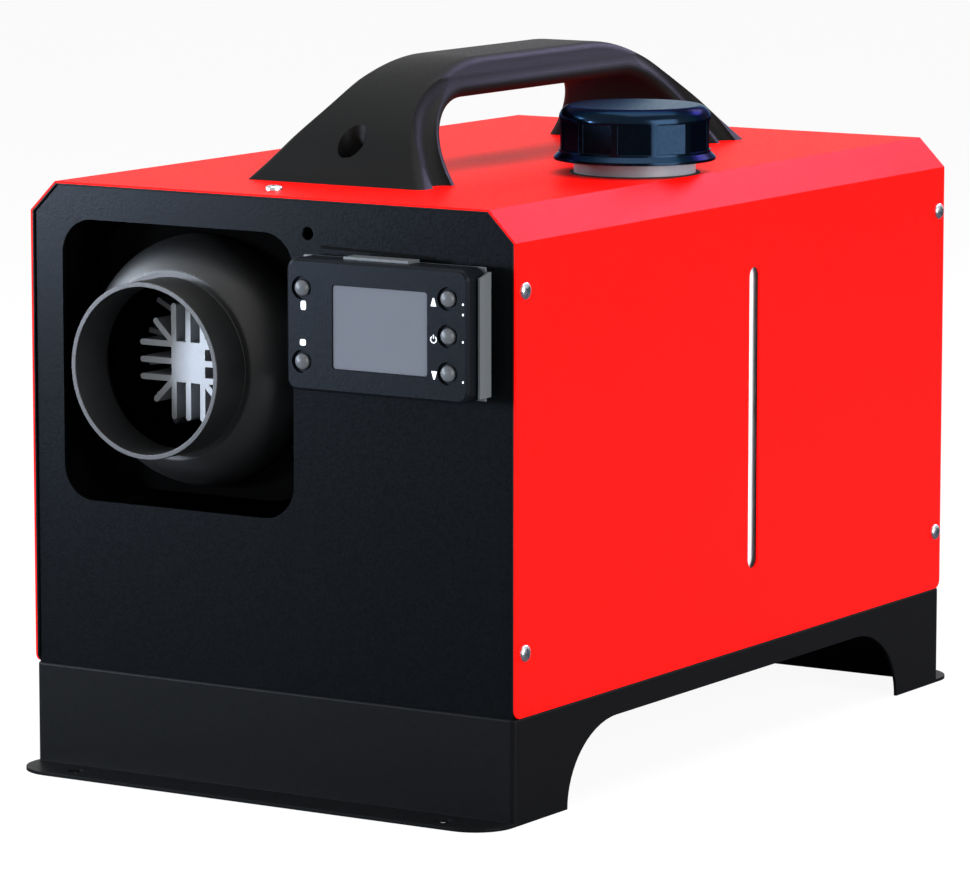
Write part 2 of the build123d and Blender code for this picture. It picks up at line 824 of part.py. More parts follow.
with BuildPart() as controller_housing:
    with BuildSketch(front_plane(controller_rear_y)):
        with Locations((controller_x, controller_z)):
            RectangleRounded(controller_width, controller_height, controller_corner)
    extrude(amount=controller_rear_y - controller_front_y)
    chamfer(controller_housing.faces().sort_by(Axis.Y)[0].edges(), controller_bevel)
    with BuildSketch(front_plane(controller_rear_y)):
        with Locations((controller_x, controller_z)):
            RectangleRounded(
                controller_width - 2 * controller_wall,
                controller_height - 2 * controller_wall,
                controller_corner - controller_wall,
            )
    extrude(
        amount=controller_rear_y - controller_front_y - controller_face,
        mode=Mode.SUBTRACT,
    )
    with BuildSketch(front_plane(controller_front_y)):
        with Locations((display_x, controller_z)):
            RectangleRounded(display_width, display_height, 1.5)
        with Locations(button_places):
            Circle(button_radius + seat_gap)
    extrude(amount=-2 * controller_face, mode=Mode.SUBTRACT)
    with BuildSketch(front_plane(controller_front_y)):
        with Locations(button_places):
            Circle(button_well_radius)
    extrude(amount=-button_well_depth, mode=Mode.SUBTRACT)
controller_housing.part.label = "controller_housing"
export_step(controller_housing.part, "parts/controller_housing.step")

# Board, display and buttons stack up between the housing's face and its back
button_flange_y = controller_front_y + controller_face + fit_gap
button_foot_y = button_flange_y + 2.0
board_front_y = button_foot_y + button_travel + 1.2

with BuildPart() as controller_board:
    with BuildSketch(front_plane(board_front_y)):
        with Locations((controller_x, controller_z)):
            RectangleRounded(
                controller_width - 2 * controller_wall - 1.0,
                controller_height - 2 * controller_wall - 1.0,
                controller_corner - controller_wall - 0.5,
            )
    extrude(amount=-board_thickness)
    with BuildSketch(front_plane(board_front_y)):
        with Locations(button_places):
            Rectangle(5, 5)
    extrude(amount=1.1)
controller_board.part.label = "controller_board"
export_step(controller_board.part, "parts/controller_board.step")

with BuildPart() as display_window:
    with BuildSketch(front_plane(controller_front_y + controller_face)):
        with Locations((display_x, controller_z)):
            RectangleRounded(display_width - 2 * fit_gap, display_height - 2 * fit_gap, 1.3)
    extrude(amount=controller_face - 0.5)
display_window.part.label = "display_window"
export_step(display_window.part, "parts/display_window.step")

with BuildPart() as display_module:
    with BuildSketch(front_plane(board_front_y)):
        with Locations((display_x, controller_z)):
            Rectangle(display_width + 4, display_height + 4)
    extrude(amount=board_front_y - controller_front_y - controller_face)
display_module.part.label = "display_module"
export_step(display_module.part, "parts/display_module.step")

with BuildPart() as controller_back:
    with BuildSketch(front_plane(bracket_face_y)):
        with Locations((controller_x, controller_z)):
            RectangleRounded(controller_width, controller_height, controller_corner)
    extrude(amount=back_thickness)
    with BuildSketch(front_plane(back_face_y)):
        with Locations((controller_x, controller_z)):
            with GridLocations(controller_width - 16, controller_height - 12, 2, 2):
                Circle(2.5)
    extrude(amount=back_face_y - board_front_y - board_thickness)
controller_back.part.label = "controller_back"
export_step(controller_back.part, "parts/controller_back.step")

for name, (x, z) in zip(button_names, button_places):
    dome_y = controller_front_y - button_rise
    section = Plane(origin=(x, 0, z), x_dir=(0, 1, 0), z_dir=(1, 0, 0))
    with BuildPart() as button:
        with BuildSketch(section):
            with BuildLine():
                ThreePointArc(
                    (dome_y, 0),
                    (dome_y + 0.45, button_radius * 0.72),
                    (dome_y + 1.6, button_radius),
                )
                Polyline(
                    (dome_y + 1.6, button_radius),
                    (button_flange_y, button_radius),
                    (button_flange_y, button_radius + 1.0),
                    (button_flange_y + 0.8, button_radius + 1.0),
                    (button_flange_y + 0.8, 1.5),
                    (button_foot_y, 1.5),
                    (button_foot_y, 0),
                    (dome_y, 0),
                )
            make_face()
        revolve(axis=Axis((x, 0, z), (0, 1, 0)))
    button.part.label = name
    export_step(button.part, f"parts/{name}.step")

# Outlet and inlet hoods: a bell with the duct stub, on a flange that closes the casing
hood_back_y = -casing_y
hood_face_y = hood_back_y - hood_flange
bell_y = hood_face_y - hood_straight
stub_y = stub_length - mouth_y

with BuildPart() as outlet_hood:
    with BuildSketch(heater_section):
        with BuildLine():
            Line((hood_back_y, hood_radius), (bell_y, hood_radius))
            TangentArc((bell_y, hood_radius), (stub_y, duct_radius + 2.3), tangent=(-1, 0))
            Polyline(
                (stub_y, duct_radius + 2.3),
                (stub_y, duct_radius),
                (-mouth_y, duct_radius),
                (-mouth_y, duct_radius - duct_wall),
                (stub_y + hood_wall, duct_radius - duct_wall),
            )
            TangentArc(
                (bell_y, hood_radius - hood_wall),
                (stub_y + hood_wall, duct_radius - duct_wall),
                tangent=(-1, 0),
            )
            Polyline(
                (bell_y, hood_radius - hood_wall),
                (hood_back_y, hood_radius - hood_wall),
                (hood_back_y, hood_radius),
            )
        make_face()
    revolve(axis=heater_axis)
    with BuildSketch(front_plane(hood_back_y)):
        add(casing_outline(0))
        with Locations((heater_x, heater_z)):
            Circle(hood_radius - 1.0, mode=Mode.SUBTRACT)
    extrude(amount=hood_flange)
outlet_hood.part.label = "outlet_hood"
export_step(outlet_hood.part, "parts/outlet_hood.step")

with BuildPart() as inlet_hood:
    mirror(outlet_hood.part, about=Plane.XZ)
inlet_hood.part.label = "inlet_hood"
export_step(inlet_hood.part, "parts/inlet_hood.step")

with BuildPart() as inlet_grille:
    with BuildSketch(front_plane(mouth_y - grille_inset)):
        with Locations((heater_x, heater_z)):
            bore = duct_radius - duct_wall - fit_gap
            Circle(bore)
            Circle(bore - 2.5, mode=Mode.SUBTRACT)
            for ring in (8.0, 15.0, 22.0, 29.0):
                Circle(ring)
                Circle(ring - 1.8, mode=Mode.SUBTRACT)
        with Locations((heater_x, heater_z)):
            with PolarLocations(bore / 2, 8):
                Rectangle(bore - 1, 2.0)
            Circle(3.0)
    extrude(amount=grille_depth)
inlet_grille.part.label = "inlet_grille"
export_step(inlet_grille.part, "parts/inlet_grille.step")

# Casing, in two halves, with the ports' opening in the lower one
gasket_height = 3.0
stand_top = casing_bottom - gasket_height
fuel_port_x = heater_x - fuel_port_side
fuel_port_y = air_y + fuel_port_back
fuel_hole_radius = nipple_radius + 1.5

with BuildPart(mode=Mode.PRIVATE) as casing:
    with BuildSketch(Plane.XZ):
        add(casing_outline(0))
        add(casing_outline(casing_wall), mode=Mode.SUBTRACT)
    extrude(amount=casing_y, both=True)
    with BuildSketch(Plane.XY.offset(casing_bottom)):
        with Locations((heater_x, exhaust_y), (heater_x, air_y)):
            Circle(port_radius + 1.0)
        with Locations((fuel_port_x, fuel_port_y)):
            Circle(nipple_radius + 4.0)
    extrude(amount=2 * casing_wall, mode=Mode.SUBTRACT)

with BuildPart() as casing_upper:
    add(casing.part)
    split(bisect_by=Plane.XY.offset(heater_z), keep=Keep.TOP)
casing_upper.part.label = "casing_upper"
export_step(casing_upper.part, "parts/casing_upper.step")

with BuildPart() as casing_lower:
    add(casing.part)
    split(bisect_by=Plane.XY.offset(heater_z), keep=Keep.BOTTOM)
casing_lower.part.label = "casing_lower"
export_step(casing_lower.part, "parts/casing_lower.step")

# Heat exchanger: a finned casting with a cross-shaped nose that shows inside the duct
exchanger_front = exchanger_setback - casing_y
fan_rear_y = casing_y - fan_back_space
motor_rear_y = fan_rear_y - fan_depth - fan_motor_gap
motor_front_y = motor_rear_y - motor_length
blower_front_y = motor_front_y - blower_length
cavity_radius = exchanger_radius - exchanger_wall
plug_radius = 4.0
plug_angle = 45.0
plug_y = exchanger_rear - exchanger_flange / 2

with BuildPart() as heat_exchanger:
    with BuildSketch(heater_section):
        with BuildLine():
            Line((exchanger_front, 0), (exchanger_front, exchanger_radius * 0.45))
            ThreePointArc(
                (exchanger_front, exchanger_radius * 0.45),
                (exchanger_front + 3.0, exchanger_radius * 0.84),
                (exchanger_front + 10.0, exchanger_radius),
            )
            Polyline(
                (exchanger_front + 10.0, exchanger_radius),
                (exchanger_rear - exchanger_flange, exchanger_radius),
                (exchanger_rear - exchanger_flange, exchanger_flange_radius),
                (exchanger_rear, exchanger_flange_radius),
                (exchanger_rear, cavity_radius),
                (exchanger_front + 10.0, cavity_radius),
                (exchanger_front + 10.0, 0),
                (exchanger_front, 0),
            )
        make_face()
    revolve(axis=heater_axis)
    fin_start = exchanger_front + 10.0
    fin_end = exchanger_rear - exchanger_flange
    with BuildSketch(front_plane(fin_start)):
        with Locations((heater_x, heater_z)):
            with PolarLocations(
                (fin_radius + exchanger_radius) / 2 - 0.5,
                exchanger_fins,
                start_angle=180 / exchanger_fins,
            ):
                Rectangle(fin_radius - exchanger_radius + 1.0, fin_thickness)
    extrude(amount=fin_start - fin_end)
    with BuildSketch(front_plane(fin_start)):
        with Locations((heater_x, heater_z)):
            Rectangle(nose_square, nose_square)
        for step in (-nose_pitch, 0, nose_pitch):
            with Locations((heater_x + step, heater_z)):
                SlotOverall(2 * nose_reach, nose_arm, rotation=90)
            with Locations((heater_x, heater_z + step)):
                SlotOverall(2 * nose_reach, nose_arm)
        with Locations((heater_x, heater_z)):
            SlotOverall(2 * nose_reach, nose_arm, rotation=45)
            SlotOverall(2 * nose_reach, nose_arm, rotation=-45)
    extrude(amount=nose_length + 10.0)
    with BuildSketch(Plane.XY.offset(casing_bottom)):
        with Locations((heater_x, exhaust_y)):
            Circle(port_radius)
    extrude(amount=casing_height / 2 - cavity_radius - 1.0)
    with BuildSketch(Plane.XY.offset(casing_bottom)):
        with Locations((heater_x, exhaust_y)):
            Circle(port_radius - port_wall)
    extrude(amount=casing_height / 2 - cavity_radius + 3.0, mode=Mode.SUBTRACT)
    plug_plane = Plane(
        origin=(heater_x, plug_y, heater_z),
        x_dir=(0, 1, 0),
        z_dir=(cos(radians(plug_angle)), 0, sin(radians(plug_angle))),
    )
    with BuildSketch(plug_plane.offset(cavity_radius - 2.0)):
        Circle(plug_radius + fit_gap)
    extrude(amount=exchanger_flange_radius, mode=Mode.SUBTRACT)
heat_exchanger.part.label = "heat_exchanger"
export_step(heat_exchanger.part, "parts/heat_exchanger.step")

with BuildPart() as glow_plug:
    with BuildSketch(plug_plane.offset(burner_radius + 1.5)):
        Circle(plug_radius)
    extrude(amount=exchanger_flange_radius - burner_radius - 1.5)
    with BuildSketch(plug_plane.offset(exchanger_flange_radius)):
        RegularPolygon(6.0, 6)
    extrude(amount=5.0)
    with BuildSketch(plug_plane.offset(exchanger_flange_radius + 5.0)):
        Circle(2.0)
    extrude(amount=6.0)
glow_plug.part.label = "glow_plug"
export_step(glow_plug.part, "parts/glow_plug.step")

with BuildPart() as overheat_sensor:
    with BuildSketch(Plane.XY.offset(heater_z + exchanger_radius + seat_gap)):
        with Locations((heater_x, (fin_start + fin_end) / 2)):
            RectangleRounded(5.0, 12.0, 2.0)
    extrude(amount=6.0)
overheat_sensor.part.label = "overheat_sensor"
export_step(overheat_sensor.part, "parts/overheat_sensor.step")

with BuildPart() as burner_tube:
    tube_front = exchanger_front + burner_setback
    with BuildSketch(heater_section):
        with BuildLine():
            Polyline(
                (tube_front, burner_radius),
                (exchanger_rear - 2.5, burner_radius),
                (exchanger_rear - 2.5, cavity_radius - fit_gap),
                (exchanger_rear, cavity_radius - fit_gap),
                (exchanger_rear, burner_radius - burner_wall),
                (tube_front, burner_radius - burner_wall),
                close=True,
            )
        make_face()
    revolve(axis=heater_axis)
    with BuildSketch(Plane.XY.offset(heater_z)):
        with Locations((heater_x, tube_front + 20.0), (heater_x, tube_front + 35.0)):
            Circle(3.0)
    extrude(amount=2 * burner_radius, both=True, mode=Mode.SUBTRACT)
burner_tube.part.label = "burner_tube"
export_step(burner_tube.part, "parts/burner_tube.step")

# Combustion air blower behind the burner, with its impeller in a round chamber
chamber_front = blower_front_y + 6.0
chamber_rear = chamber_front + impeller_depth + 2.0
chamber_radius = impeller_radius + 2.0

with BuildPart() as blower_housing:
    with BuildSketch(heater_section):
        with BuildLine():
            Polyline(
                (blower_front_y, 12.0),
                (blower_front_y, blower_radius),
                (motor_front_y - 6.0, blower_radius),
                (motor_front_y, motor_radius),
                (motor_front_y, shaft_radius + 1.0),
                (chamber_rear, shaft_radius + 1.0),
                (chamber_rear, chamber_radius),
                (chamber_front, chamber_radius),
                (chamber_front, 12.0),
                close=True,
            )
        make_face()
    revolve(axis=heater_axis)
    with BuildSketch(Plane.XY.offset(casing_bottom)):
        with Locations((heater_x, air_y)):
            Circle(port_radius)
        with Locations((fuel_port_x, fuel_port_y)):
            Circle(nipple_radius + 3.0)
    extrude(amount=casing_height / 2 - chamber_radius + 3.0)
    with BuildSketch(Plane.XY.offset(casing_bottom)):
        with Locations((fuel_port_x, fuel_port_y)):
            Circle(nipple_radius)
    extrude(amount=-nipple_length - gasket_height)
    with BuildSketch(heater_section):
        with BuildLine():
            Polyline(
                (chamber_front, 0),
                (chamber_rear, 0),
                (chamber_rear, chamber_radius),
                (chamber_front, chamber_radius),
                close=True,
            )
        make_face()
    revolve(axis=heater_axis, mode=Mode.SUBTRACT)
    with BuildSketch(Plane.XY.offset(casing_bottom)):
        with Locations((heater_x, air_y)):
            Circle(port_radius - port_wall)
    extrude(amount=casing_height / 2 - chamber_radius + 4.0, mode=Mode.SUBTRACT)
blower_housing.part.label = "blower_housing"
export_step(blower_housing.part, "parts/blower_housing.step")

with BuildPart() as blower_motor:
    with BuildSketch(heater_section):
        with BuildLine():
            Polyline(
                (motor_front_y, shaft_radius + shaft_gap),
                (motor_front_y, motor_radius - 1.5),
                (motor_front_y + 1.5, motor_radius),
                (motor_rear_y - 4.0, motor_radius),
                (motor_rear_y, motor_radius - 8.0),
                (motor_rear_y, shaft_radius + shaft_gap),
                close=True,
            )
        make_face()
    revolve(axis=heater_axis)
blower_motor.part.label = "blower_motor"
export_step(blower_motor.part, "parts/blower_motor.step")

# Rotor: one shaft with the combustion impeller at its front and the cooling fan at its back
impeller_y = chamber_front + 1.0
shaft_front = impeller_y - 2.0
fan_front_y = fan_rear_y - fan_depth

with BuildPart() as rotor_shaft:
    with BuildSketch(heater_section):
        with BuildLine():
            Polyline(
                (shaft_front, 0),
                (shaft_front, shaft_radius),
                (fan_rear_y + 3.0, shaft_radius),
                (fan_rear_y + 3.0, 0),
                close=True,
            )
        make_face()
    revolve(axis=heater_axis)
rotor_shaft.part.label = "rotor_shaft"
export_step(rotor_shaft.part, "parts/rotor_shaft.step")

impeller_plane = Plane(origin=(heater_x, impeller_y, heater_z), x_dir=(1, 0, 0), z_dir=(0, 1, 0))
with BuildPart() as combustion_impeller:
    with BuildSketch(impeller_plane.offset(impeller_depth - 1.5)):
        Circle(impeller_radius)
        Circle(shaft_radius + shaft_gap, mode=Mode.SUBTRACT)
    extrude(amount=1.5)
    with BuildSketch(impeller_plane):
        Circle(6.5)
        Circle(shaft_radius + shaft_gap, mode=Mode.SUBTRACT)
    extrude(amount=impeller_depth)
    with BuildSketch(impeller_plane):
        with PolarLocations(impeller_radius - 8.5, impeller_blades):
            Rectangle(16.0, 1.2, rotation=35)
    extrude(amount=impeller_depth)
combustion_impeller.part.label = "combustion_impeller"
export_step(combustion_impeller.part, "parts/combustion_impeller.step")

fan_plane = Plane(origin=(heater_x, fan_front_y, heater_z), x_dir=(1, 0, 0), z_dir=(0, 1, 0))
with BuildPart(mode=Mode.PRIVATE) as fan_blade:
    for radius, chord, pitch in ((fan_hub_radius - 1.0, 13.0, 50.0), (fan_radius, 22.0, 28.0)):
        tip = Plane(
            origin=(radius, 0, fan_depth / 2),
            x_dir=(0, cos(radians(pitch)), sin(radians(pitch))),
            z_dir=(1, 0, 0),
        )
        with BuildSketch(tip):
            Rectangle(chord, 1.4)
    loft()

with BuildPart() as cooling_fan:
    with BuildSketch(fan_plane):
        Circle(fan_hub_radius)
    extrude(amount=fan_depth)
    for blade in range(fan_blades):
        with Locations(fan_plane.location * Location((0, 0, 0), (0, 0, 360 * blade / fan_blades))):
            add(fan_blade.part)
    with BuildSketch(fan_plane):
        Circle(shaft_radius + shaft_gap)
    extrude(amount=fan_depth, mode=Mode.SUBTRACT)
cooling_fan.part.label = "cooling_fan"
export_step(cooling_fan.part, "parts/cooling_fan.step")

# Control unit, clipped under the casing's top above the motor
with BuildPart() as control_unit:
    unit_top = heater_z + casing_height / 2 - casing_wall - seat_gap
    with BuildSketch(Plane.XY.offset(unit_top)):
        with Locations((heater_x, (motor_front_y + motor_rear_y) / 2)):
            RectangleRounded(control_width, motor_length, 4.0)
    extrude(amount=-22.0)
    with BuildSketch(Plane.XY.offset(unit_top - 6.0)):
        with Locations((heater_x, motor_rear_y)):
            Rectangle(24.0, 12.0)
    extrude(amount=-10.0)
control_unit.part.label = "control_unit"
export_step(control_unit.part, "parts/control_unit.step")

# Stand, gasket and the two pipes down through the deck
stand_front = exhaust_y - stand_ahead
stand_back = fuel_port_y + stand_behind
stand_width = 2 * (heater_x - pump_x - pump_radius - mount_ring - stand_clearance)
pipe_wall = 1.5
pipe_end = 18.0
pipe_bead = 2.0

with BuildPart() as heater_stand:
    with BuildSketch(Plane.YZ.offset(heater_x - stand_width / 2)):
        with BuildLine():
            Polyline(
                (stand_front + stand_foot, deck_z),
                (stand_front, deck_z),
                (stand_front, stand_top),
                (stand_back, stand_top),
                (stand_back, deck_z),
                (stand_back - stand_foot, deck_z),
                (stand_back - stand_foot, deck_z + bracket_sheet),
                (stand_back - bracket_sheet, deck_z + bracket_sheet),
                (stand_back - bracket_sheet, stand_top - bracket_sheet),
                (stand_front + bracket_sheet, stand_top - bracket_sheet),
                (stand_front + bracket_sheet, deck_z + bracket_sheet),
                (stand_front + stand_foot, deck_z + bracket_sheet),
                close=True,
            )
        make_face()
    extrude(amount=stand_width)
    with BuildSketch(Plane.XY.offset(stand_top)):
        with Locations((heater_x, exhaust_y), (heater_x, air_y)):
            Circle(pipe_hole_radius)
        with Locations((fuel_port_x, fuel_port_y)):
            Circle(fuel_hole_radius)
    extrude(amount=-2 * bracket_sheet, mode=Mode.SUBTRACT)
heater_stand.part.label = "heater_stand"
export_step(heater_stand.part, "parts/heater_stand.step")

with BuildPart() as mounting_gasket:
    with BuildSketch(Plane.XY.offset(stand_top)):
        with Locations((heater_x, (stand_front + stand_back) / 2)):
            RectangleRounded(stand_width - 6.0, stand_back - stand_front - 20.0, 3.0)
        with Locations((heater_x, exhaust_y), (heater_x, air_y)):
            Circle(pipe_hole_radius, mode=Mode.SUBTRACT)
        with Locations((fuel_port_x, fuel_port_y)):
            Circle(fuel_hole_radius, mode=Mode.SUBTRACT)
    extrude(amount=gasket_height)
mounting_gasket.part.label = "mounting_gasket"
export_step(mounting_gasket.part, "parts/mounting_gasket.step")

for name, y in (("exhaust_pipe", exhaust_y), ("combustion_air_pipe", air_y)):
    with BuildPart() as pipe:
        with BuildSketch(Plane.XY.offset(pipe_end)):
            with Locations((heater_x, y)):
                Circle(port_radius)
                Circle(port_radius - pipe_wall, mode=Mode.SUBTRACT)
        extrude(amount=casing_bottom - pipe_end)
        with BuildSketch(Plane.XY.offset(deck_z - sheet - 1.0)):
            with Locations((heater_x, y)):
                Circle(port_radius + 1.5)
                Circle(port_radius - pipe_wall, mode=Mode.SUBTRACT)
        extrude(amount=-pipe_bead)
    pipe.part.label = name
    export_step(pipe.part, f"parts/{name}.step")

# Fuel line: tank outlet, filter, dosing pump and the hose up to the blower housing
fuel_z = deck_z + pump_height
outlet_tip_x = partition_x - outlet_reach
filter_front = outlet_y + filter_space
filter_rear = filter_front + filter_length
pump_front = filter_rear + 2 * nipple_length + hose_space
pump_rear = pump_front + pump_length
pump_axis = Axis((pump_x, 0, fuel_z), (0, 1, 0))
pump_section = Plane(origin=(pump_x, 0, fuel_z), x_dir=(0, 1, 0), z_dir=(1, 0, 0))
fuel_bore = 1.2

with BuildPart() as tank_outlet:
    with BuildSketch(Plane.YZ.offset(outlet_tip_x)):
        with Locations((outlet_y, outlet_z)):
            Circle(nipple_radius)
    extrude(amount=tank_left - outlet_tip_x)
    with BuildSketch(Plane.YZ.offset(outlet_tip_x + nipple_length)):
        with Locations((outlet_y, outlet_z)):
            Circle(outlet_boss)
    extrude(amount=tank_left - outlet_tip_x - nipple_length)
    with BuildSketch(Plane.YZ.offset(tank_left)):
        with Locations((outlet_y, outlet_z)):
            Circle(outlet_stub)
    extrude(amount=tank_wall)
    with BuildSketch(Plane.YZ.offset(outlet_tip_x)):
        with Locations((outlet_y, outlet_z)):
            Circle(fuel_bore)
    extrude(amount=tank_left + tank_wall - outlet_tip_x, mode=Mode.SUBTRACT)
tank_outlet.part.label = "tank_outlet"
export_step(tank_outlet.part, "parts/tank_outlet.step")

with BuildPart() as fuel_filter:
    with BuildSketch(pump_section):
        with BuildLine():
            Polyline(
                (filter_front - nipple_length, fuel_bore),
                (filter_front - nipple_length, nipple_radius),
                (filter_front, nipple_radius),
                (filter_front + 3.0, filter_radius),
                (filter_rear - 3.0, filter_radius),
                (filter_rear, nipple_radius),
                (filter_rear + nipple_length, nipple_radius),
                (filter_rear + nipple_length, fuel_bore),
                close=True,
            )
        make_face()
    revolve(axis=pump_axis)
fuel_filter.part.label = "fuel_filter"
export_step(fuel_filter.part, "parts/fuel_filter.step")

cavity_front = pump_front + 8.0
cavity_rear = cavity_front + plunger_length + plunger_travel + 2.0
plunger_bore = plunger_radius + seat_gap

with BuildPart() as fuel_pump:
    with BuildSketch(pump_section):
        with BuildLine():
            Polyline(
                (pump_front - nipple_length, fuel_bore),
                (pump_front - nipple_length, nipple_radius),
                (pump_front, nipple_radius),
                (pump_front, pump_radius * 0.6),
                (pump_front + 4.0, pump_radius),
                (pump_rear - 8.0, pump_radius),
                (pump_rear - 8.0, pump_radius * 0.5),
                (pump_rear, pump_radius * 0.5),
                (pump_rear, nipple_radius),
                (pump_rear + nipple_length, nipple_radius),
                (pump_rear + nipple_length, fuel_bore),
                (cavity_rear, fuel_bore),
                (cavity_rear, plunger_bore),
                (cavity_front, plunger_bore),
                (cavity_front, fuel_bore),
                close=True,
            )
        make_face()
    revolve(axis=pump_axis)
fuel_pump.part.label = "fuel_pump"
export_step(fuel_pump.part, "parts/fuel_pump.step")

with BuildPart() as pump_plunger:
    with BuildSketch(pump_section):
        with BuildLine():
            Polyline(
                (cavity_front + seat_gap, fuel_bore),
                (cavity_front + seat_gap, plunger_radius),
                (cavity_front + seat_gap + plunger_length, plunger_radius),
                (cavity_front + seat_gap + plunger_length, fuel_bore),
                close=True,
            )
        make_face()
    revolve(axis=pump_axis)
pump_plunger.part.label = "pump_plunger"
export_step(pump_plunger.part, "parts/pump_plunger.step")

with BuildPart() as pump_mount:
    with BuildSketch(front_plane((pump_front + pump_rear + mount_length) / 2)):
        with Locations((pump_x, fuel_z)):
            Circle(pump_radius + mount_ring)
        with Locations((pump_x, deck_z)):
            Rectangle(mount_width, pump_height, align=(Align.CENTER, Align.MIN))
        with Locations((pump_x, fuel_z)):
            Circle(pump_radius + seat_gap, mode=Mode.SUBTRACT)
    extrude(amount=mount_length)
    split(bisect_by=Plane.XY.offset(deck_z), keep=Keep.TOP)
pump_mount.part.label = "pump_mount"
export_step(pump_mount.part, "parts/pump_mount.step")


def hose(points, bends):
    """Hose along straight runs joined by round bends; its bore fits over the nipples."""
    with BuildPart(Plane.XY) as tube:
        with BuildLine(Plane.XY) as route:
            FilletPolyline(*points, radius=bends)
        with BuildSketch(Plane(origin=route.line @ 0, z_dir=route.line % 0)):
            Circle(hose_radius)
            Circle(hose_bore, mode=Mode.SUBTRACT)
        sweep(path=route.line)
    return tube.part


with BuildPart() as hose_tank_filter:
    tank_route = [
        (outlet_tip_x + hose_overlap, outlet_y, fuel_z),
        (pump_x, outlet_y, fuel_z),
        (pump_x, filter_front - nipple_length + hose_overlap, fuel_z),
    ]
    add(hose(tank_route, tank_hose_bend))
hose_tank_filter.part.label = "hose_tank_filter"
export_step(hose_tank_filter.part, "parts/hose_tank_filter.step")

with BuildPart() as hose_filter_pump:
    with BuildSketch(front_plane(filter_rear + nipple_length - hose_overlap)):
        with Locations((pump_x, fuel_z)):
            Circle(hose_radius)
            Circle(hose_bore, mode=Mode.SUBTRACT)
    extrude(amount=filter_rear - pump_front + 2 * nipple_length - 2 * hose_overlap)
hose_filter_pump.part.label = "hose_filter_pump"
export_step(hose_filter_pump.part, "parts/hose_filter_pump.step")

with BuildPart() as hose_pump_heater:
    heater_route = [
        (pump_x, pump_rear + nipple_length - hose_overlap, fuel_z),
        (pump_x, fuel_port_y, fuel_z),
        (fuel_port_x, fuel_port_y, fuel_z),
        (fuel_port_x, fuel_port_y, casing_bottom - 6.0),
    ]
    add(hose(heater_route, heater_hose_bend))
hose_pump_heater.part.label = "hose_pump_heater"
export_step(hose_pump_heater.part, "parts/hose_pump_heater.step")

# Power inlet in the rear panel, and the power supply on the deck
with BuildPart() as power_inlet:
    with BuildSketch(front_plane(panel_y)):
        with Locations((inlet_x, inlet_z)):
            RectangleRounded(inlet_width + 12.0, inlet_height + 5.0, 3.0)
    extrude(amount=-2.0)
    with BuildSketch(front_plane(panel_y)):
        with Locations((inlet_x, inlet_z)):
            Rectangle(inlet_width, inlet_height)
    extrude(amount=20.0)
    with BuildSketch(front_plane(panel_y + 2.0)):
        with Locations((inlet_x, inlet_z)):
            Rectangle(inlet_width - 3.0, inlet_height - 4.0)
    extrude(amount=18.0, mode=Mode.SUBTRACT)
    with BuildSketch(front_plane(panel_y - 16.0)):
        with Locations(
            (inlet_x - 7.0, inlet_z - 2.0),
            (inlet_x, inlet_z + 2.0),
            (inlet_x + 7.0, inlet_z - 2.0),
        ):
            Rectangle(2.0, 5.0)
    extrude(amount=-14.0)
power_inlet.part.label = "power_inlet"
export_step(power_inlet.part, "parts/power_inlet.step")

supply_front = stand_back + supply_gap
supply_back = half_depth - sheet - panel_flange - supply_back_gap
with BuildPart() as power_supply:
    with BuildSketch(Plane.XY.offset(deck_z)):
        with Locations((heater_x, (supply_front + supply_back) / 2)):
            Rectangle(supply_width, supply_back - supply_front)
    extrude(amount=supply_height)
    fillet(power_supply.edges().filter_by(Axis.Z), 3.0)
    with BuildSketch(Plane.XY.offset(deck_z + supply_height)):
        with Locations((heater_x, (supply_front + supply_back) / 2)):
            with GridLocations(10.0, 1, 8, 1):
                SlotOverall(supply_back - supply_front - 16.0, 3.0, rotation=90)
    extrude(amount=-4.0, mode=Mode.SUBTRACT)
power_supply.part.label = "power_supply"
export_step(power_supply.part, "parts/power_supply.step")
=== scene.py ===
import json
import math

import bmesh
import bpy
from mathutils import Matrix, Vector

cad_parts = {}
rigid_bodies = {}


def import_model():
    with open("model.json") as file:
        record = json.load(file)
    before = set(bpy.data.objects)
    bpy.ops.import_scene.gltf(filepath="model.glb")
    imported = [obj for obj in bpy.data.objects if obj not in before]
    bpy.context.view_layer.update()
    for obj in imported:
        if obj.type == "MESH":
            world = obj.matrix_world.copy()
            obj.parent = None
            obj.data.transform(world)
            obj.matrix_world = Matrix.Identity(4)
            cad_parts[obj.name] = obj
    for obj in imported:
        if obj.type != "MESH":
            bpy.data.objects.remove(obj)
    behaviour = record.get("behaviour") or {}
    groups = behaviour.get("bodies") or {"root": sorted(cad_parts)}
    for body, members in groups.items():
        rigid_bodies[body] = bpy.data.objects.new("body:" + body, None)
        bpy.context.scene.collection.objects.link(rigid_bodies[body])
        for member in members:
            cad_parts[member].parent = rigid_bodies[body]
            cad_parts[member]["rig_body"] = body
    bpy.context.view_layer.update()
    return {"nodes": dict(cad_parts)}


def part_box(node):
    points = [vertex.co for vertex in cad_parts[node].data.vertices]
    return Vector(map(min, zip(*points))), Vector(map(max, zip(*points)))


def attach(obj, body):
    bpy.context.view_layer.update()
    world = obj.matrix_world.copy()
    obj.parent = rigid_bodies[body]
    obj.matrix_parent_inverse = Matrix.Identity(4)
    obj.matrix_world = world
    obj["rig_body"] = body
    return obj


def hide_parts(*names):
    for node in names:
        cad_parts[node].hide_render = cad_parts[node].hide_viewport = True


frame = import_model()
nodes = frame["nodes"]
scene = bpy.context.scene
print("frame loaded:", len(nodes), "nodes")

mm = 0.001

camera = {
    "azimuth": 32.212,
    "elevation": 8.517,
    "lens": 206.3,
    "sensor": 36,
    "place": (1.3070, -2.0909, 0.4943),
    "farthest": 100,
}

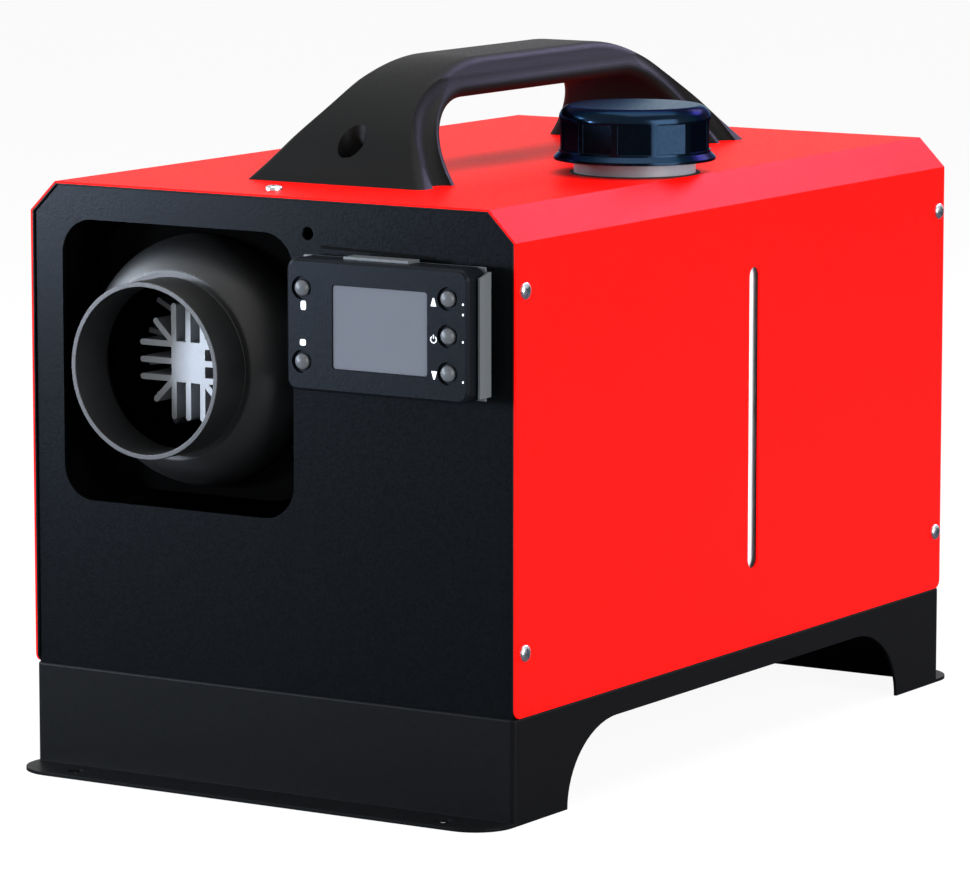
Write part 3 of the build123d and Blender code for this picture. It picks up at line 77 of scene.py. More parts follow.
studio = {
    "worldLight": 0.42,
    "floorColour": "F4F4F2",
    "floorGlossy": "5A5C5E",   # what glossy rays see of the floor
    "floorWhite": 0.93,        # share of the floor's colour that camera rays see as plain white
    "floorReach": 14.0,        # half the floor's side, in metres
}


def linear(code):
    # sRGB hex to the linear colour that shaders take
    rgb = [int(code[i:i + 2], 16) / 255 for i in (0, 2, 4)]
    return [c / 12.92 if c <= 0.04045 else ((c + 0.055) / 1.055) ** 2.4 for c in rgb] + [1.0]


def addNode(tree, kind, inputs=None, **settings):
    # inputs maps a socket's name or number to a value, or to an output socket that is linked to it
    node = tree.nodes.new(kind)
    for key, value in settings.items():
        setattr(node, key, value)
    for key, value in (inputs or {}).items():
        socket = node.inputs[key]
        if isinstance(value, bpy.types.NodeSocket):
            tree.links.new(value, socket)
        else:
            socket.default_value = value
    return node


def maths(tree, operation, a, b=0.0):
    # one step of arithmetic
    return addNode(tree, "ShaderNodeMath", {0: a, 1: b}, operation=operation).outputs[0]


def makeCamera():
    a, e = math.radians(camera["azimuth"]), math.radians(camera["elevation"])
    towards = Vector((math.sin(a) * math.cos(e), -math.cos(a) * math.cos(e), math.sin(e)))
    data = bpy.data.cameras.new("camera")
    data.sensor_fit = "HORIZONTAL"
    data.sensor_width = camera["sensor"]
    data.lens = camera["lens"]
    data.clip_end = camera["farthest"]
    obj = bpy.data.objects.new("camera", data)
    scene.collection.objects.link(obj)
    obj.location = camera["place"]
    obj.rotation_euler = towards.to_track_quat("Z", "Y").to_euler()
    scene.camera = obj


def makeWorld():
    world = bpy.data.worlds.new("studio")
    world.use_nodes = True
    tree = world.node_tree
    tree.nodes.clear()
    path = addNode(tree, "ShaderNodeLightPath")
    # the lens, and whatever mirrors or passes light, sees plain white; the rest is lit softly
    seen = maths(tree, "MAXIMUM", path.outputs["Is Camera Ray"], path.outputs["Is Glossy Ray"])
    seen = maths(tree, "MAXIMUM", seen, path.outputs["Is Transmission Ray"])
    dim = addNode(tree, "ShaderNodeBackground", {"Color": linear("FFFFFF"), "Strength": studio["worldLight"]})
    white = addNode(tree, "ShaderNodeBackground", {"Color": linear("FFFFFF"), "Strength": 1.0})
    mix = addNode(tree, "ShaderNodeMixShader", {0: seen, 1: dim.outputs[0], 2: white.outputs[0]})
    addNode(tree, "ShaderNodeOutputWorld", {"Surface": mix.outputs[0]})
    scene.world = world
    scene.view_settings.view_transform = "Standard"


def makeFloor():
    mesh = bpy.data.meshes.new("floor")
    r = studio["floorReach"]
    mesh.from_pydata([(-r, -r, 0), (r, -r, 0), (r, r, 0), (-r, r, 0)], [], [(0, 1, 2, 3)])
    floor = bpy.data.objects.new("floor", mesh)
    scene.collection.objects.link(floor)
    mat = bpy.data.materials.new("paleStudioFloor")
    mat.use_nodes = True
    tree = mat.node_tree
    tree.nodes.clear()
    path = addNode(tree, "ShaderNodeLightPath")
    share = maths(tree, "MULTIPLY", path.outputs["Is Camera Ray"], studio["floorWhite"])
    tone = addNode(tree, "ShaderNodeMix", {0: path.outputs["Is Glossy Ray"], 6: linear(studio["floorColour"]),
                                           7: linear(studio["floorGlossy"])}, data_type="RGBA")
    matt = addNode(tree, "ShaderNodeBsdfDiffuse", {"Color": tone.outputs[2]})
    glow = addNode(tree, "ShaderNodeEmission", {"Color": linear("FFFFFF"), "Strength": 1.0})
    mix = addNode(tree, "ShaderNodeMixShader", {0: share, 1: matt.outputs[0], 2: glow.outputs[0]})
    addNode(tree, "ShaderNodeOutputMaterial", {"Surface": mix.outputs[0]})
    mesh.materials.append(mat)


lamps = {
    # place, aim, width, height, power in watts, colour
    "upperLeftSoftbox": ((-0.85, -0.42, 0.52), (-0.06, -0.17, 0.20), 0.34, 0.30, 9.0, "E6F1FF"),
    "lowSheen": ((-0.84, -1.00, 0.27), (-0.09, -0.19, 0.25), 0.22, 0.20, 22.0, "E4EEFF"),
    "rightFill": ((1.9, -0.5, 0.55), (0.12, 0.0, 0.12), 1.4, 1.2, 52.0, "FFFFFF"),
    "overhead": ((0.1, 0.2, 1.9), (0.0, 0.0, 0.25), 1.6, 1.6, 34.0, "FFFFFF"),
    "behindStrip": ((0.35, 1.35, 1.10), (0.10, 0.0, 0.25), 0.9, 0.4, 24.0, "CCC2FA"),
}


def makeLamps():
    for name, (place, aim, width, height, power, colour) in lamps.items():
        data = bpy.data.lights.new(name, "AREA")
        data.shape = "RECTANGLE"
        data.size, data.size_y = width, height
        data.energy = power
        data.color = linear(colour)[:3]
        lamp = bpy.data.objects.new(name, data)
        scene.collection.objects.link(lamp)
        lamp.location = place
        lamp.rotation_euler = (Vector(place) - Vector(aim)).to_track_quat("Z", "Y").to_euler()


makeCamera()
makeWorld()
makeFloor()
makeLamps()
print("camera, floor and lamps placed")


def startMaterial(name):
    mat = bpy.data.materials.new(name)
    mat.use_nodes = True
    tree = mat.node_tree
    tree.nodes.clear()
    coords = addNode(tree, "ShaderNodeTexCoord")
    shader = addNode(tree, "ShaderNodeBsdfPrincipled")
    addNode(tree, "ShaderNodeOutputMaterial", {"Surface": shader.outputs[0]})
    return mat, tree, coords.outputs["Object"], shader


masks = {
    # where painted shade lies, in metres along the object's own axes; a pair is where a fade starts and ends
    "neckShadeFade": (0.246, 0.256),       # height, through the cover's top
    "flangeShadeFade": (0.1640, 0.1605),   # distance from the middle, from a bell to its flange
    "coverSide": 0.1217,
    "coverTop": 0.2542,
    "coverFold": 0.3634,              # side and height together
}


def shadedPartMask(tree, place, kind):
    axes = addNode(tree, "ShaderNodeSeparateXYZ", {0: place})
    if kind == "neckShade":
        # painted shade: the tank's neck, outside the cover, under the cap
        low, high = masks["neckShadeFade"]
        return addNode(tree, "ShaderNodeMapRange", {0: axes.outputs[2], 1: low, 2: high}).outputs[0]
    if kind == "hoodFlangeShade":
        # painted shade: the hoods' flat flanges, behind their bells, go near black with no gloss
        deep = maths(tree, "ABSOLUTE", axes.outputs[1])
        bell, flange = masks["flangeShadeFade"]
        return addNode(tree, "ShaderNodeMapRange", {0: deep, 1: bell, 2: flange}).outputs[0]
    # painted shade: the inside of the folded cover, more than half a sheet behind each outer face, goes near
    # black
    side = maths(tree, "ABSOLUTE", axes.outputs[0])
    fold = maths(tree, "ADD", side, axes.outputs[2])
    found = None
    for value, limit in ((side, masks["coverSide"]), (axes.outputs[2], masks["coverTop"]),
                         (fold, masks["coverFold"])):
        test = maths(tree, "LESS_THAN", value, limit)
        found = test if found is None else maths(tree, "MULTIPLY", found, test)
    return found


surface = {
    "drift": 70,           # mm, size of the slow change of colour
    "driftDetail": 3.0,
    "grainDetail": 2.0,
    "gloss": (0.3, 0.7),   # stretch of the grain over which the gloss changes
}


def coated(name, colour, shade, roughness, spread, grain, relief, specular, metallic=0.0, tint=None,
           paintedShade=None):
    # a surface with a fine grain (its size in mm), slow colour drift and uneven gloss
    mat, tree, place, shader = startMaterial(name)
    fine = addNode(tree, "ShaderNodeTexNoise", {"Vector": place, "Scale": 1 / (grain * mm),
                                                "Detail": surface["grainDetail"]})
    slow = addNode(tree, "ShaderNodeTexNoise", {"Vector": place, "Scale": 1 / (surface["drift"] * mm),
                                                "Detail": surface["driftDetail"]})
    # Mix's colour sockets share their names with others, so they go by number
    drift = addNode(tree, "ShaderNodeMix", {0: slow.outputs[0], 6: linear(colour), 7: linear(shade)},
                    data_type="RGBA")
    tone = drift.outputs[2]
    if paintedShade:
        # paintedShade = (kind, hex, specular): painted shade, a darker colour and gloss on part of the piece
        mask = shadedPartMask(tree, place, paintedShade[0])
        tone = addNode(tree, "ShaderNodeMix", {0: mask, 6: tone, 7: linear(paintedShade[1])},
                       data_type="RGBA").outputs[2]
        level = addNode(tree, "ShaderNodeMapRange", {"Value": mask, "To Min": specular, "To Max": paintedShade[2]})
        tree.links.new(level.outputs[0], shader.inputs["Specular IOR Level"])
    else:
        shader.inputs["Specular IOR Level"].default_value = specular
    tree.links.new(tone, shader.inputs["Base Color"])
    rough = addNode(tree, "ShaderNodeMapRange", {"Value": fine.outputs[0], "From Min": surface["gloss"][0],
                                                 "From Max": surface["gloss"][1],
                                                 "To Min": roughness - spread, "To Max": roughness + spread})
    tree.links.new(rough.outputs[0], shader.inputs["Roughness"])
    bump = addNode(tree, "ShaderNodeBump", {"Height": fine.outputs[0], "Strength": 1.0,
                                            "Distance": relief * mm})
    tree.links.new(bump.outputs[0], shader.inputs["Normal"])
    shader.inputs["Metallic"].default_value = metallic
    if tint:
        shader.inputs["Specular Tint"].default_value = linear(tint)
    return mat


materials = {
    # polyester powder coat, sprayed and baked: a low orange peel and a soft gloss; painted shade, near black,
    # on the inside faces
    "redPowderCoat": coated("redPowderCoat", "F00B06", "EC0A05", 0.42, 0.05, 1.4, 0.035, 0.018,
                            paintedShade=("inside", "0B0B0C", 0.05)),
    # satin black powder coat on the panels: dark, with a cool sheen
    "blackPowderCoat": coated("blackPowderCoat", "060708", "050607", 0.31, 0.04, 1.2, 0.03, 0.05,
                              tint="D2E0F0"),
    # the same coat on the base, a little duller
    "basePowderCoat": coated("basePowderCoat", "0A0B0C", "090A0B", 0.42, 0.05, 1.2, 0.03, 0.045),
    # polypropylene, moulded in a spark-eroded tool: an even fine grain, dull
    "satinMoulding": coated("satinMoulding", "0B0C0C", "0A0A0A", 0.50, 0.06, 0.9, 0.05, 0.055),
    # glass-filled nylon, moulded: darker, with a softer sheen; the flanges painted near black and without
    # gloss as shade
    "hoodMoulding": coated("hoodMoulding", "070809", "060708", 0.50, 0.05, 1.0, 0.03, 0.55,
                           paintedShade=("hoodFlangeShade", "050505", 0.0)),
    # glossy polypropylene cap, blue-black: mostly metallic, since only that tints a grazing reflection blue
    "glossCap": coated("glossCap", "131E2B", "101A26", 0.20, 0.03, 1.6, 0.012, 0.42, metallic=0.94,
                       tint="4A86AE"),
    # natural polyethylene, blow moulded: milky; painted greyer as shade where the neck stands clear under the
    # cap
    "milkyPolyethylene": coated("milkyPolyethylene", "E2E4E5", "D8DBDD", 0.40, 0.05, 2.0, 0.03, 0.35,
                                paintedShade=("neckShade", "77767D", 0.35)),
    # moulded nitrile rubber: dull and slightly uneven
    "blackRubber": coated("blackRubber", "101010", "131313", 0.70, 0.06, 0.8, 0.03, 0.25),
    # die-cast aluminium, shot blasted: pale and softly metallic
    "castAluminium": coated("castAluminium", "9A9DA0", "919497", 0.60, 0.06, 0.8, 0.04, 0.3, metallic=0.3),
    # bright zinc plate on steel: a cool mirror with fine haze
    "zincPlate": coated("zincPlate", "B9C0C6", "A9B1B8", 0.26, 0.06, 0.6, 0.01, 0.5, metallic=1.0),
    # drawn stainless steel tube: warm grey metal
    "stainlessTube": coated("stainlessTube", "B7B5B0", "ADABA6", 0.32, 0.06, 0.7, 0.01, 0.5, metallic=1.0),
    # turned brass: a soft yellow shine
    "brassFitting": coated("brassFitting", "C9A25A", "BE964F", 0.30, 0.05, 0.7, 0.01, 0.5, metallic=1.0),
    # ABS, moulded with a fine satin grain
    "controllerShell": coated("controllerShell", "0C0E11", "0A0C0F", 0.34, 0.05, 0.9, 0.03, 0.085,
                              tint="CFE0F2"),
    # silicone, moulded: soft mid grey
    "buttonCap": coated("buttonCap", "484B4E", "434649", 0.40, 0.05, 0.9, 0.02, 0.3),
    # tinted acrylic over a switched-off LCD: flat grey with a clean gloss
    "displayGlass": coated("displayGlass", "575A60", "52555B", 0.14, 0.02, 1.0, 0.0, 0.10),
    # glass-epoxy board under green solder resist
    "circuitBoard": coated("circuitBoard", "17502C", "144727", 0.35, 0.06, 0.7, 0.02, 0.5),
    # zinc-plated steel sheet, dull grey
    "greyZincSheet": coated("greyZincSheet", "4C5052", "464A4C", 0.42, 0.06, 0.9, 0.02, 0.35),
    # pad-printed white ink: matt
    "whitePrint": coated("whitePrint", "E4E6E8", "DADDE0", 0.55, 0.04, 0.5, 0.0, 0.2),
    # a slot in deep shadow
    "darkSlot": coated("darkSlot", "040404", "050505", 0.80, 0.04, 1.0, 0.0, 0.05),
}

finishes = {
    "redPowderCoat": ["shell_cover"],
    "blackPowderCoat": ["front_panel", "rear_panel"],
    "basePowderCoat": ["base_frame", "power_supply", "control_unit"],
    "satinMoulding": ["carry_handle", "power_inlet", "inlet_grille", "blower_housing", "casing_lower",
                      "casing_upper", "cooling_fan", "combustion_impeller"],
    "hoodMoulding": ["outlet_hood", "inlet_hood"],
    "glossCap": ["fuel_cap"],
    "milkyPolyethylene": ["fuel_tank", "fuel_filter"],
    "blackRubber": ["neck_grommet", "cap_gasket", "cap_breather", "hose_filter_pump", "hose_pump_heater",
                    "hose_tank_filter", "pump_mount", "mounting_gasket"],
    "castAluminium": ["heat_exchanger", "fuel_pump"],
    "zincPlate": ["cover_screws", "handle_bolts", "handle_nuts", "bracket_screws", "pump_plunger",
                  "rotor_shaft", "blower_motor", "glow_plug", "partition_plate", "heater_stand",
                  "overheat_sensor"],
    "stainlessTube": ["exhaust_pipe", "combustion_air_pipe", "burner_tube"],
    "brassFitting": ["tank_outlet"],
    "controllerShell": ["controller_housing", "controller_back"],
    "buttonCap": ["settings_button", "ok_button", "up_button", "power_button", "down_button"],
    "displayGlass": ["display_window", "display_module"],
    "circuitBoard": ["controller_board"],
    "greyZincSheet": ["controller_bracket"],
}
for finish, names in finishes.items():
    for name in names:
        nodes[name].data.materials.clear()
        nodes[name].data.materials.append(materials[finish])
print("materials set:", len(materials))


def applied(piece):
    # the evaluated shape as a plain mesh, with the modifiers gone
    view = bpy.context.evaluated_depsgraph_get()
    view.update()
    mesh = bpy.data.meshes.new_from_object(piece.evaluated_get(view), preserve_all_data_layers=True,
                                           depsgraph=view)
    piece.modifiers.clear()
    piece.data = mesh
    mesh.name = piece.name


edges = {
    "joinWithin": 0.003,   # mm, between corners that are one
    "flatWithin": 0.5,     # degrees, between faces that are one
    "sharpFrom": 32,       # degrees; an edge that turns more is broken, or stays sharp
    "segments": 2,
}


def merged(mesh):
    # a bmesh of a CAD mesh, whose loose triangles are joined at their corners
    shape = bmesh.new()
    shape.from_mesh(mesh)
    bmesh.ops.remove_doubles(shape, verts=shape.verts[:], dist=edges["joinWithin"] * mm)
    return shape


def stored(shape, mesh):
    # writes a bmesh to its mesh
    shape.to_mesh(mesh)
    shape.free()


def turned(angle, radius=1.0):
    # a point on a circle, the angle in degrees
    return radius * math.cos(math.radians(angle)), radius * math.sin(math.radians(angle))


def softCopy(node, name, finish, width):
    # a merged copy of a CAD node with its edges broken by a small radius, which stands for the node
    mesh = nodes[node].data.copy()
    mesh.name = name
    if "custom_normal" in mesh.attributes:
        mesh.attributes.remove(mesh.attributes["custom_normal"])
    shape = merged(mesh)
    bmesh.ops.dissolve_limit(shape, angle_limit=math.radians(edges["flatWithin"]), verts=shape.verts[:],
                             edges=shape.edges[:])
    for face in shape.faces:
        face.smooth = True
    stored(shape, mesh)
    piece = bpy.data.objects.new(name, mesh)
    scene.collection.objects.link(piece)
    if width:
        soft = piece.modifiers.new("brokenEdges", "BEVEL")
        soft.width = width * mm
        soft.segments = edges["segments"]
        soft.limit_method = "ANGLE"
        soft.angle_limit = math.radians(edges["sharpFrom"])
        even = piece.modifiers.new("evenNormals", "WEIGHTED_NORMAL")
        even.keep_sharp = True
        applied(piece)
    else:
        mesh.set_sharp_from_angle(angle=math.radians(edges["sharpFrom"]))
    piece.data.materials.clear()
    piece.data.materials.append(materials[finish])
    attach(piece, nodes[node]["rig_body"])
    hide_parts(node)
    return piece


def meshPiece(name, shape, finish, body="root"):
    # turns a bmesh into a piece with its finish, on its body
    bmesh.ops.recalc_face_normals(shape, faces=shape.faces[:])
    mesh = bpy.data.meshes.new(name)
    stored(shape, mesh)
    piece = bpy.data.objects.new(name, mesh)
    scene.collection.objects.link(piece)
    mesh.materials.append(materials[finish])
    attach(piece, body)
    return piece


def prism(shape, outline, front, back):
    # outline is a list of (x, z) in mm, seen from the front; front and back are y in mm
    near = [shape.verts.new((x * mm, front * mm, z * mm)) for x, z in outline]
    far = [shape.verts.new((x * mm, back * mm, z * mm)) for x, z in outline]
    shape.faces.new(near)
    shape.faces.new(far[::-1])
    for i in range(len(outline)):
        j = (i + 1) % len(outline)
        shape.faces.new((near[j], near[i], far[i], far[j]))


softEdges = {
    # node: (piece, finish, edge radius in mm, material slot)
    "shell_cover": ("coverSheet", "redPowderCoat", 0.9, "red_steel"),
    "front_panel": ("frontPlate", "blackPowderCoat", 0.45, "black_steel"),
    "rear_panel": ("rearPlate", "blackPowderCoat", 0.45, "black_steel"),
    "base_frame": ("baseTray", "basePowderCoat", 0.6, "black_steel"),
    "controller_housing": ("controllerCase", "controllerShell", 0.7, "controller_moulding"),
    "controller_bracket": ("controllerCradle", "greyZincSheet", 0.25, "black_steel"),
    "fuel_cap": ("fuelCapShell", "glossCap", 0.5, "gloss_cap"),
    "carry_handle": ("handleMoulding", "satinMoulding", 0.0, "black_moulding"),
    "outlet_hood": ("outletBell", "hoodMoulding", 0.3, "black_moulding"),
    "inlet_hood": ("inletBell", "hoodMoulding", 0.3, "black_moulding"),
    "heat_exchanger": ("exchangerCasting", "castAluminium", 0.3, "cast_alloy"),
}
for node, (name, finish, width, paint) in softEdges.items():
    softCopy(node, name, finish, width)
    print("soft edges:", name)


controllerFace = {
    "y": -205.5,              # front of the housing
    "ink": 0.06,              # the marks reach this far to each side of it
    "upArrow": (94.4, 218.1),
    "downArrow": (94.7, 188.1),
    "power": (94.4, 202.8),
    "arrowHalf": 1.35,
    "arrowHeight": 3.4,
    "arrowTip": 0.25,         # half the tip's width, as a share of the foot's
    # beside the left keys: middle, then half width and height
    "ticks": (((30.6, 212.6), (1.3, 1.9)), ((30.3, 197.2), (1.43, 1.33))),
    "tickCorner": 0.5,
    "ring": (1.15, 1.6),      # inner and outer radius
    "ringStart": 125,         # degrees
    "ringTurn": 290,
    "ringSteps": 18,
    "bar": (0.22, 0.3, 2.0),  # half width, low and high end
    "dots": ((108.6, 218.0), (108.6, 213.8), (108.6, 202.6), (108.6, 186.2)),
    "dotHalf": (0.45, 0.6),   # half width and height
    "dotSides": 6,
}


def makeMarks():
    # generic key marks, printed beside the keys
    face = controllerFace
    front, back = face["y"] - face["ink"], face["y"] + face["ink"]
    half, tall, tip = face["arrowHalf"], face["arrowHeight"] / 2, face["arrowHalf"] * face["arrowTip"]
    shape = bmesh.new()
    for key, way in (("upArrow", 1), ("downArrow", -1)):
        x, z = face[key]
        prism(shape, [(x - half, z - way * tall), (x + half, z - way * tall),
                      (x + tip, z + way * tall), (x - tip, z + way * tall)], front, back)
    for (x, z), (wide, high) in face["ticks"]:
        cut = face["tickCorner"]
        prism(shape, [(x - wide, z - high + cut), (x - wide + cut, z - high), (x + wide - cut, z - high),
                      (x + wide, z - high + cut), (x + wide, z + high - cut), (x + wide - cut, z + high),
                      (x - wide + cut, z + high), (x - wide, z + high - cut)], front, back)
    # power mark: a ring open at the top, with a bar
    x, z = face["power"]
    inner, outer = face["ring"]
    for i in range(face["ringSteps"]):
        here, there = (face["ringStart"] + face["ringTurn"] * k / face["ringSteps"] for k in (i, i + 1))
        corners = turned(here, inner), turned(here, outer), turned(there, outer), turned(there, inner)
        prism(shape, [(x + dx, z + dz) for dx, dz in corners], front, back)
    wide, low, high = face["bar"]
    prism(shape, [(x - wide, z + low), (x + wide, z + low), (x + wide, z + high), (x - wide, z + high)],
          front, back)
    wide, high = face["dotHalf"]
    around = [turned(360 * k / face["dotSides"]) for k in range(face["dotSides"])]
    for x, z in face["dots"]:
        prism(shape, [(x + wide * dx, z + high * dz) for dx, dz in around], front, back)
    marks = meshPiece("keyMarks", shape, "whitePrint")


hookSlot = {
    "outline": [(26.6, 234.2), (82.5, 232.9), (82.5, 234.1), (26.6, 235.4)],
    "front": -186.6,
    "back": -186.4,
}


def makeHookSlotShadow():
    # painted shadow: a flat dark strip on the panel, where the cradle's tab hooks in, stands for the slot's
    # shade
    shape = bmesh.new()
    prism(shape, hookSlot["outline"], hookSlot["front"], hookSlot["back"])
    meshPiece("hookSlot", shape, "darkSlot")


keys = {
    "nodes": ("settings_button", "ok_button", "up_button", "power_button", "down_button"),
    "radius": 3.4,
    "rise": 1.7,     # crown in front of the face
    "sunk": 0.9,     # the dome's foot behind the face, and the skirt's end ahead of the CAD key's
    "rows": 8,
    "cols": 32,
}


def ringOf(shape, cx, y, cz, radius, cols):
    # a ring of points round an axis along Y, in metres
    return [shape.verts.new((cx + radius * math.cos(2 * math.pi * k / cols), y,
                             cz + radius * math.sin(2 * math.pi * k / cols))) for k in range(cols)]


def joinRings(shape, rings):
    # four-sided faces between each ring and the next
    cols = len(rings[0])
    for lower, upper in zip(rings, rings[1:]):
        for k in range(cols):
            shape.faces.new((lower[k], lower[(k + 1) % cols], upper[(k + 1) % cols], upper[k]))


def makeKeys():
    # full silicone domes in their recesses
    radius, sunk = keys["radius"] * mm, keys["sunk"] * mm
    rim, crown = controllerFace["y"] * mm + sunk, controllerFace["y"] * mm - keys["rise"] * mm
    rows, cols = keys["rows"], keys["cols"]
    for node in keys["nodes"]:
        low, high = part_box(node)
        cx, cz = (low[0] + high[0]) / 2, (low[2] + high[2]) / 2
        shape = bmesh.new()
        rings = []
        for i in range(rows):
            t = math.radians(90 * i / rows)
            rings.append(ringOf(shape, cx, rim + (crown - rim) * math.sin(t), cz, radius * math.cos(t), cols))
        rings.insert(0, ringOf(shape, cx, high[1] - sunk, cz, radius, cols))
        joinRings(shape, rings)
        tip = shape.verts.new((cx, crown, cz))
        for k in range(cols):
            shape.faces.new((rings[-1][k], rings[-1][(k + 1) % cols], tip))
        shape.faces.new(rings[0][::-1])
        for face in shape.faces:
            face.smooth = len(face.verts) < 5
        key = meshPiece(node.replace("_button", "Key"), shape, "buttonCap", node)
        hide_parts(node)


makeMarks()
makeHookSlotShadow()
makeKeys()
print("controller details made")


def startTree(name, *sockets):
    # a geometry node group with its named inputs; each socket is (name, type)
    tree = bpy.data.node_groups.new(name, "GeometryNodeTree")
    tree.interface.new_socket("Geometry", in_out="INPUT", socket_type="NodeSocketGeometry")
    for label, kind in sockets:
        tree.interface.new_socket(label, in_out="INPUT", socket_type=kind)
    tree.interface.new_socket("Geometry", in_out="OUTPUT", socket_type="NodeSocketGeometry")
    return tree, addNode(tree, "NodeGroupInput").outputs


def vector(tree, x=0.0, y=0.0, z=0.0):
    return addNode(tree, "ShaderNodeCombineXYZ", {0: x, 1: y, 2: z}).outputs[0]


def circle(tree, radius, steps):
    return addNode(tree, "GeometryNodeCurvePrimitiveCircle", {"Resolution": steps, "Radius": radius},
                   mode="RADIUS").outputs[0]


def wireAlong(tree, curve, outline, caps=False):
    return addNode(tree, "GeometryNodeCurveToMesh", {"Curve": curve, "Profile Curve": outline,
                                                     "Fill Caps": caps}).outputs[0]


def finishTree(tree, shape, material):
    real = addNode(tree, "GeometryNodeRealizeInstances", {0: shape})
    painted = addNode(tree, "GeometryNodeSetMaterial", {"Geometry": real.outputs[0], "Material": material})
    addNode(tree, "NodeGroupOutput", {0: painted.outputs[0]})


def grown(piece, tree, values, sharp):
    # runs a node group on a piece and keeps the result as its plain mesh, smooth up to the sharp angle
    run = piece.modifiers.new(tree.name, "NODES")
    run.node_group = tree
    for item in tree.interface.items_tree:
        if item.in_out == "INPUT" and item.name in values:
            run[item.identifier] = values[item.name]
    applied(piece)
    shape = bmesh.new()
    shape.from_mesh(piece.data)
    bmesh.ops.recalc_face_normals(shape, faces=shape.faces[:])
    stored(shape, piece.data)
    for face in piece.data.polygons:
        face.use_smooth = True
    piece.data.set_sharp_from_angle(angle=math.radians(sharp))


panHead = {
    "radius": 3.7,
    "rim": 0.8,          # straight side of the head
    "rise": 2.15,
    "roundness": 0.7,    # under 1 makes the dome's edge fuller
    "rows": 6,
    "cols": 32,
    "shank": 1.9,
    "shankLength": 6.0,
    "cross": 4.4,        # length, width and depth of the recess
    "blade": 1.0,
    "depth": 1.4,
    "standsOut": 1.0,    # a head that reaches this far above the cover's top faces up
    "twist": 0.7,        # radians either way
    "seed": 11,
    "sharp": 35,         # degrees
}


def panHeadMesh():
    # the head's outline turned about Z, with a short shank into the sheet
    r, rim, rise, cols = panHead["radius"], panHead["rim"], panHead["rise"], panHead["cols"]
    profile = [(panHead["shank"], -panHead["shankLength"]), (panHead["shank"], 0.0), (r, 0.0), (r, rim)]
    for i in range(1, panHead["rows"]):
        t = math.radians(90 * i / panHead["rows"])
        profile.append((r * math.cos(t) ** panHead["roundness"], rim + (rise - rim) * math.sin(t)))
    shape = bmesh.new()
    around = [2 * math.pi * k / cols for k in range(cols)]
    rings = [[shape.verts.new((a * mm * math.cos(t), a * mm * math.sin(t), z * mm)) for t in around]
             for a, z in profile]
    joinRings(shape, rings)
    shape.faces.new(rings[0][::-1])
    shape.faces.new(rings[-1])
    mesh = bpy.data.meshes.new("panHead")
    stored(shape, mesh)
    return bpy.data.objects.new("panHead", mesh)


def solidBoxes(node):
    # lowest and highest corner of each separate solid of a CAD node
    shape = merged(nodes[node].data)
    left = set(shape.verts)
    found = []
    while left:
        seed = left.pop()
        island, edge = [seed], [seed]
        while edge:
            for link in edge.pop().link_edges:
                for vert in link.verts:
                    if vert in left:
                        left.discard(vert)
                        island.append(vert)
                        edge.append(vert)
        low = [min(v.co[i] for v in island) for i in range(3)]
        high = [max(v.co[i] for v in island) for i in range(3)]
        found.append((low, high))
    shape.free()
    return sorted(found)


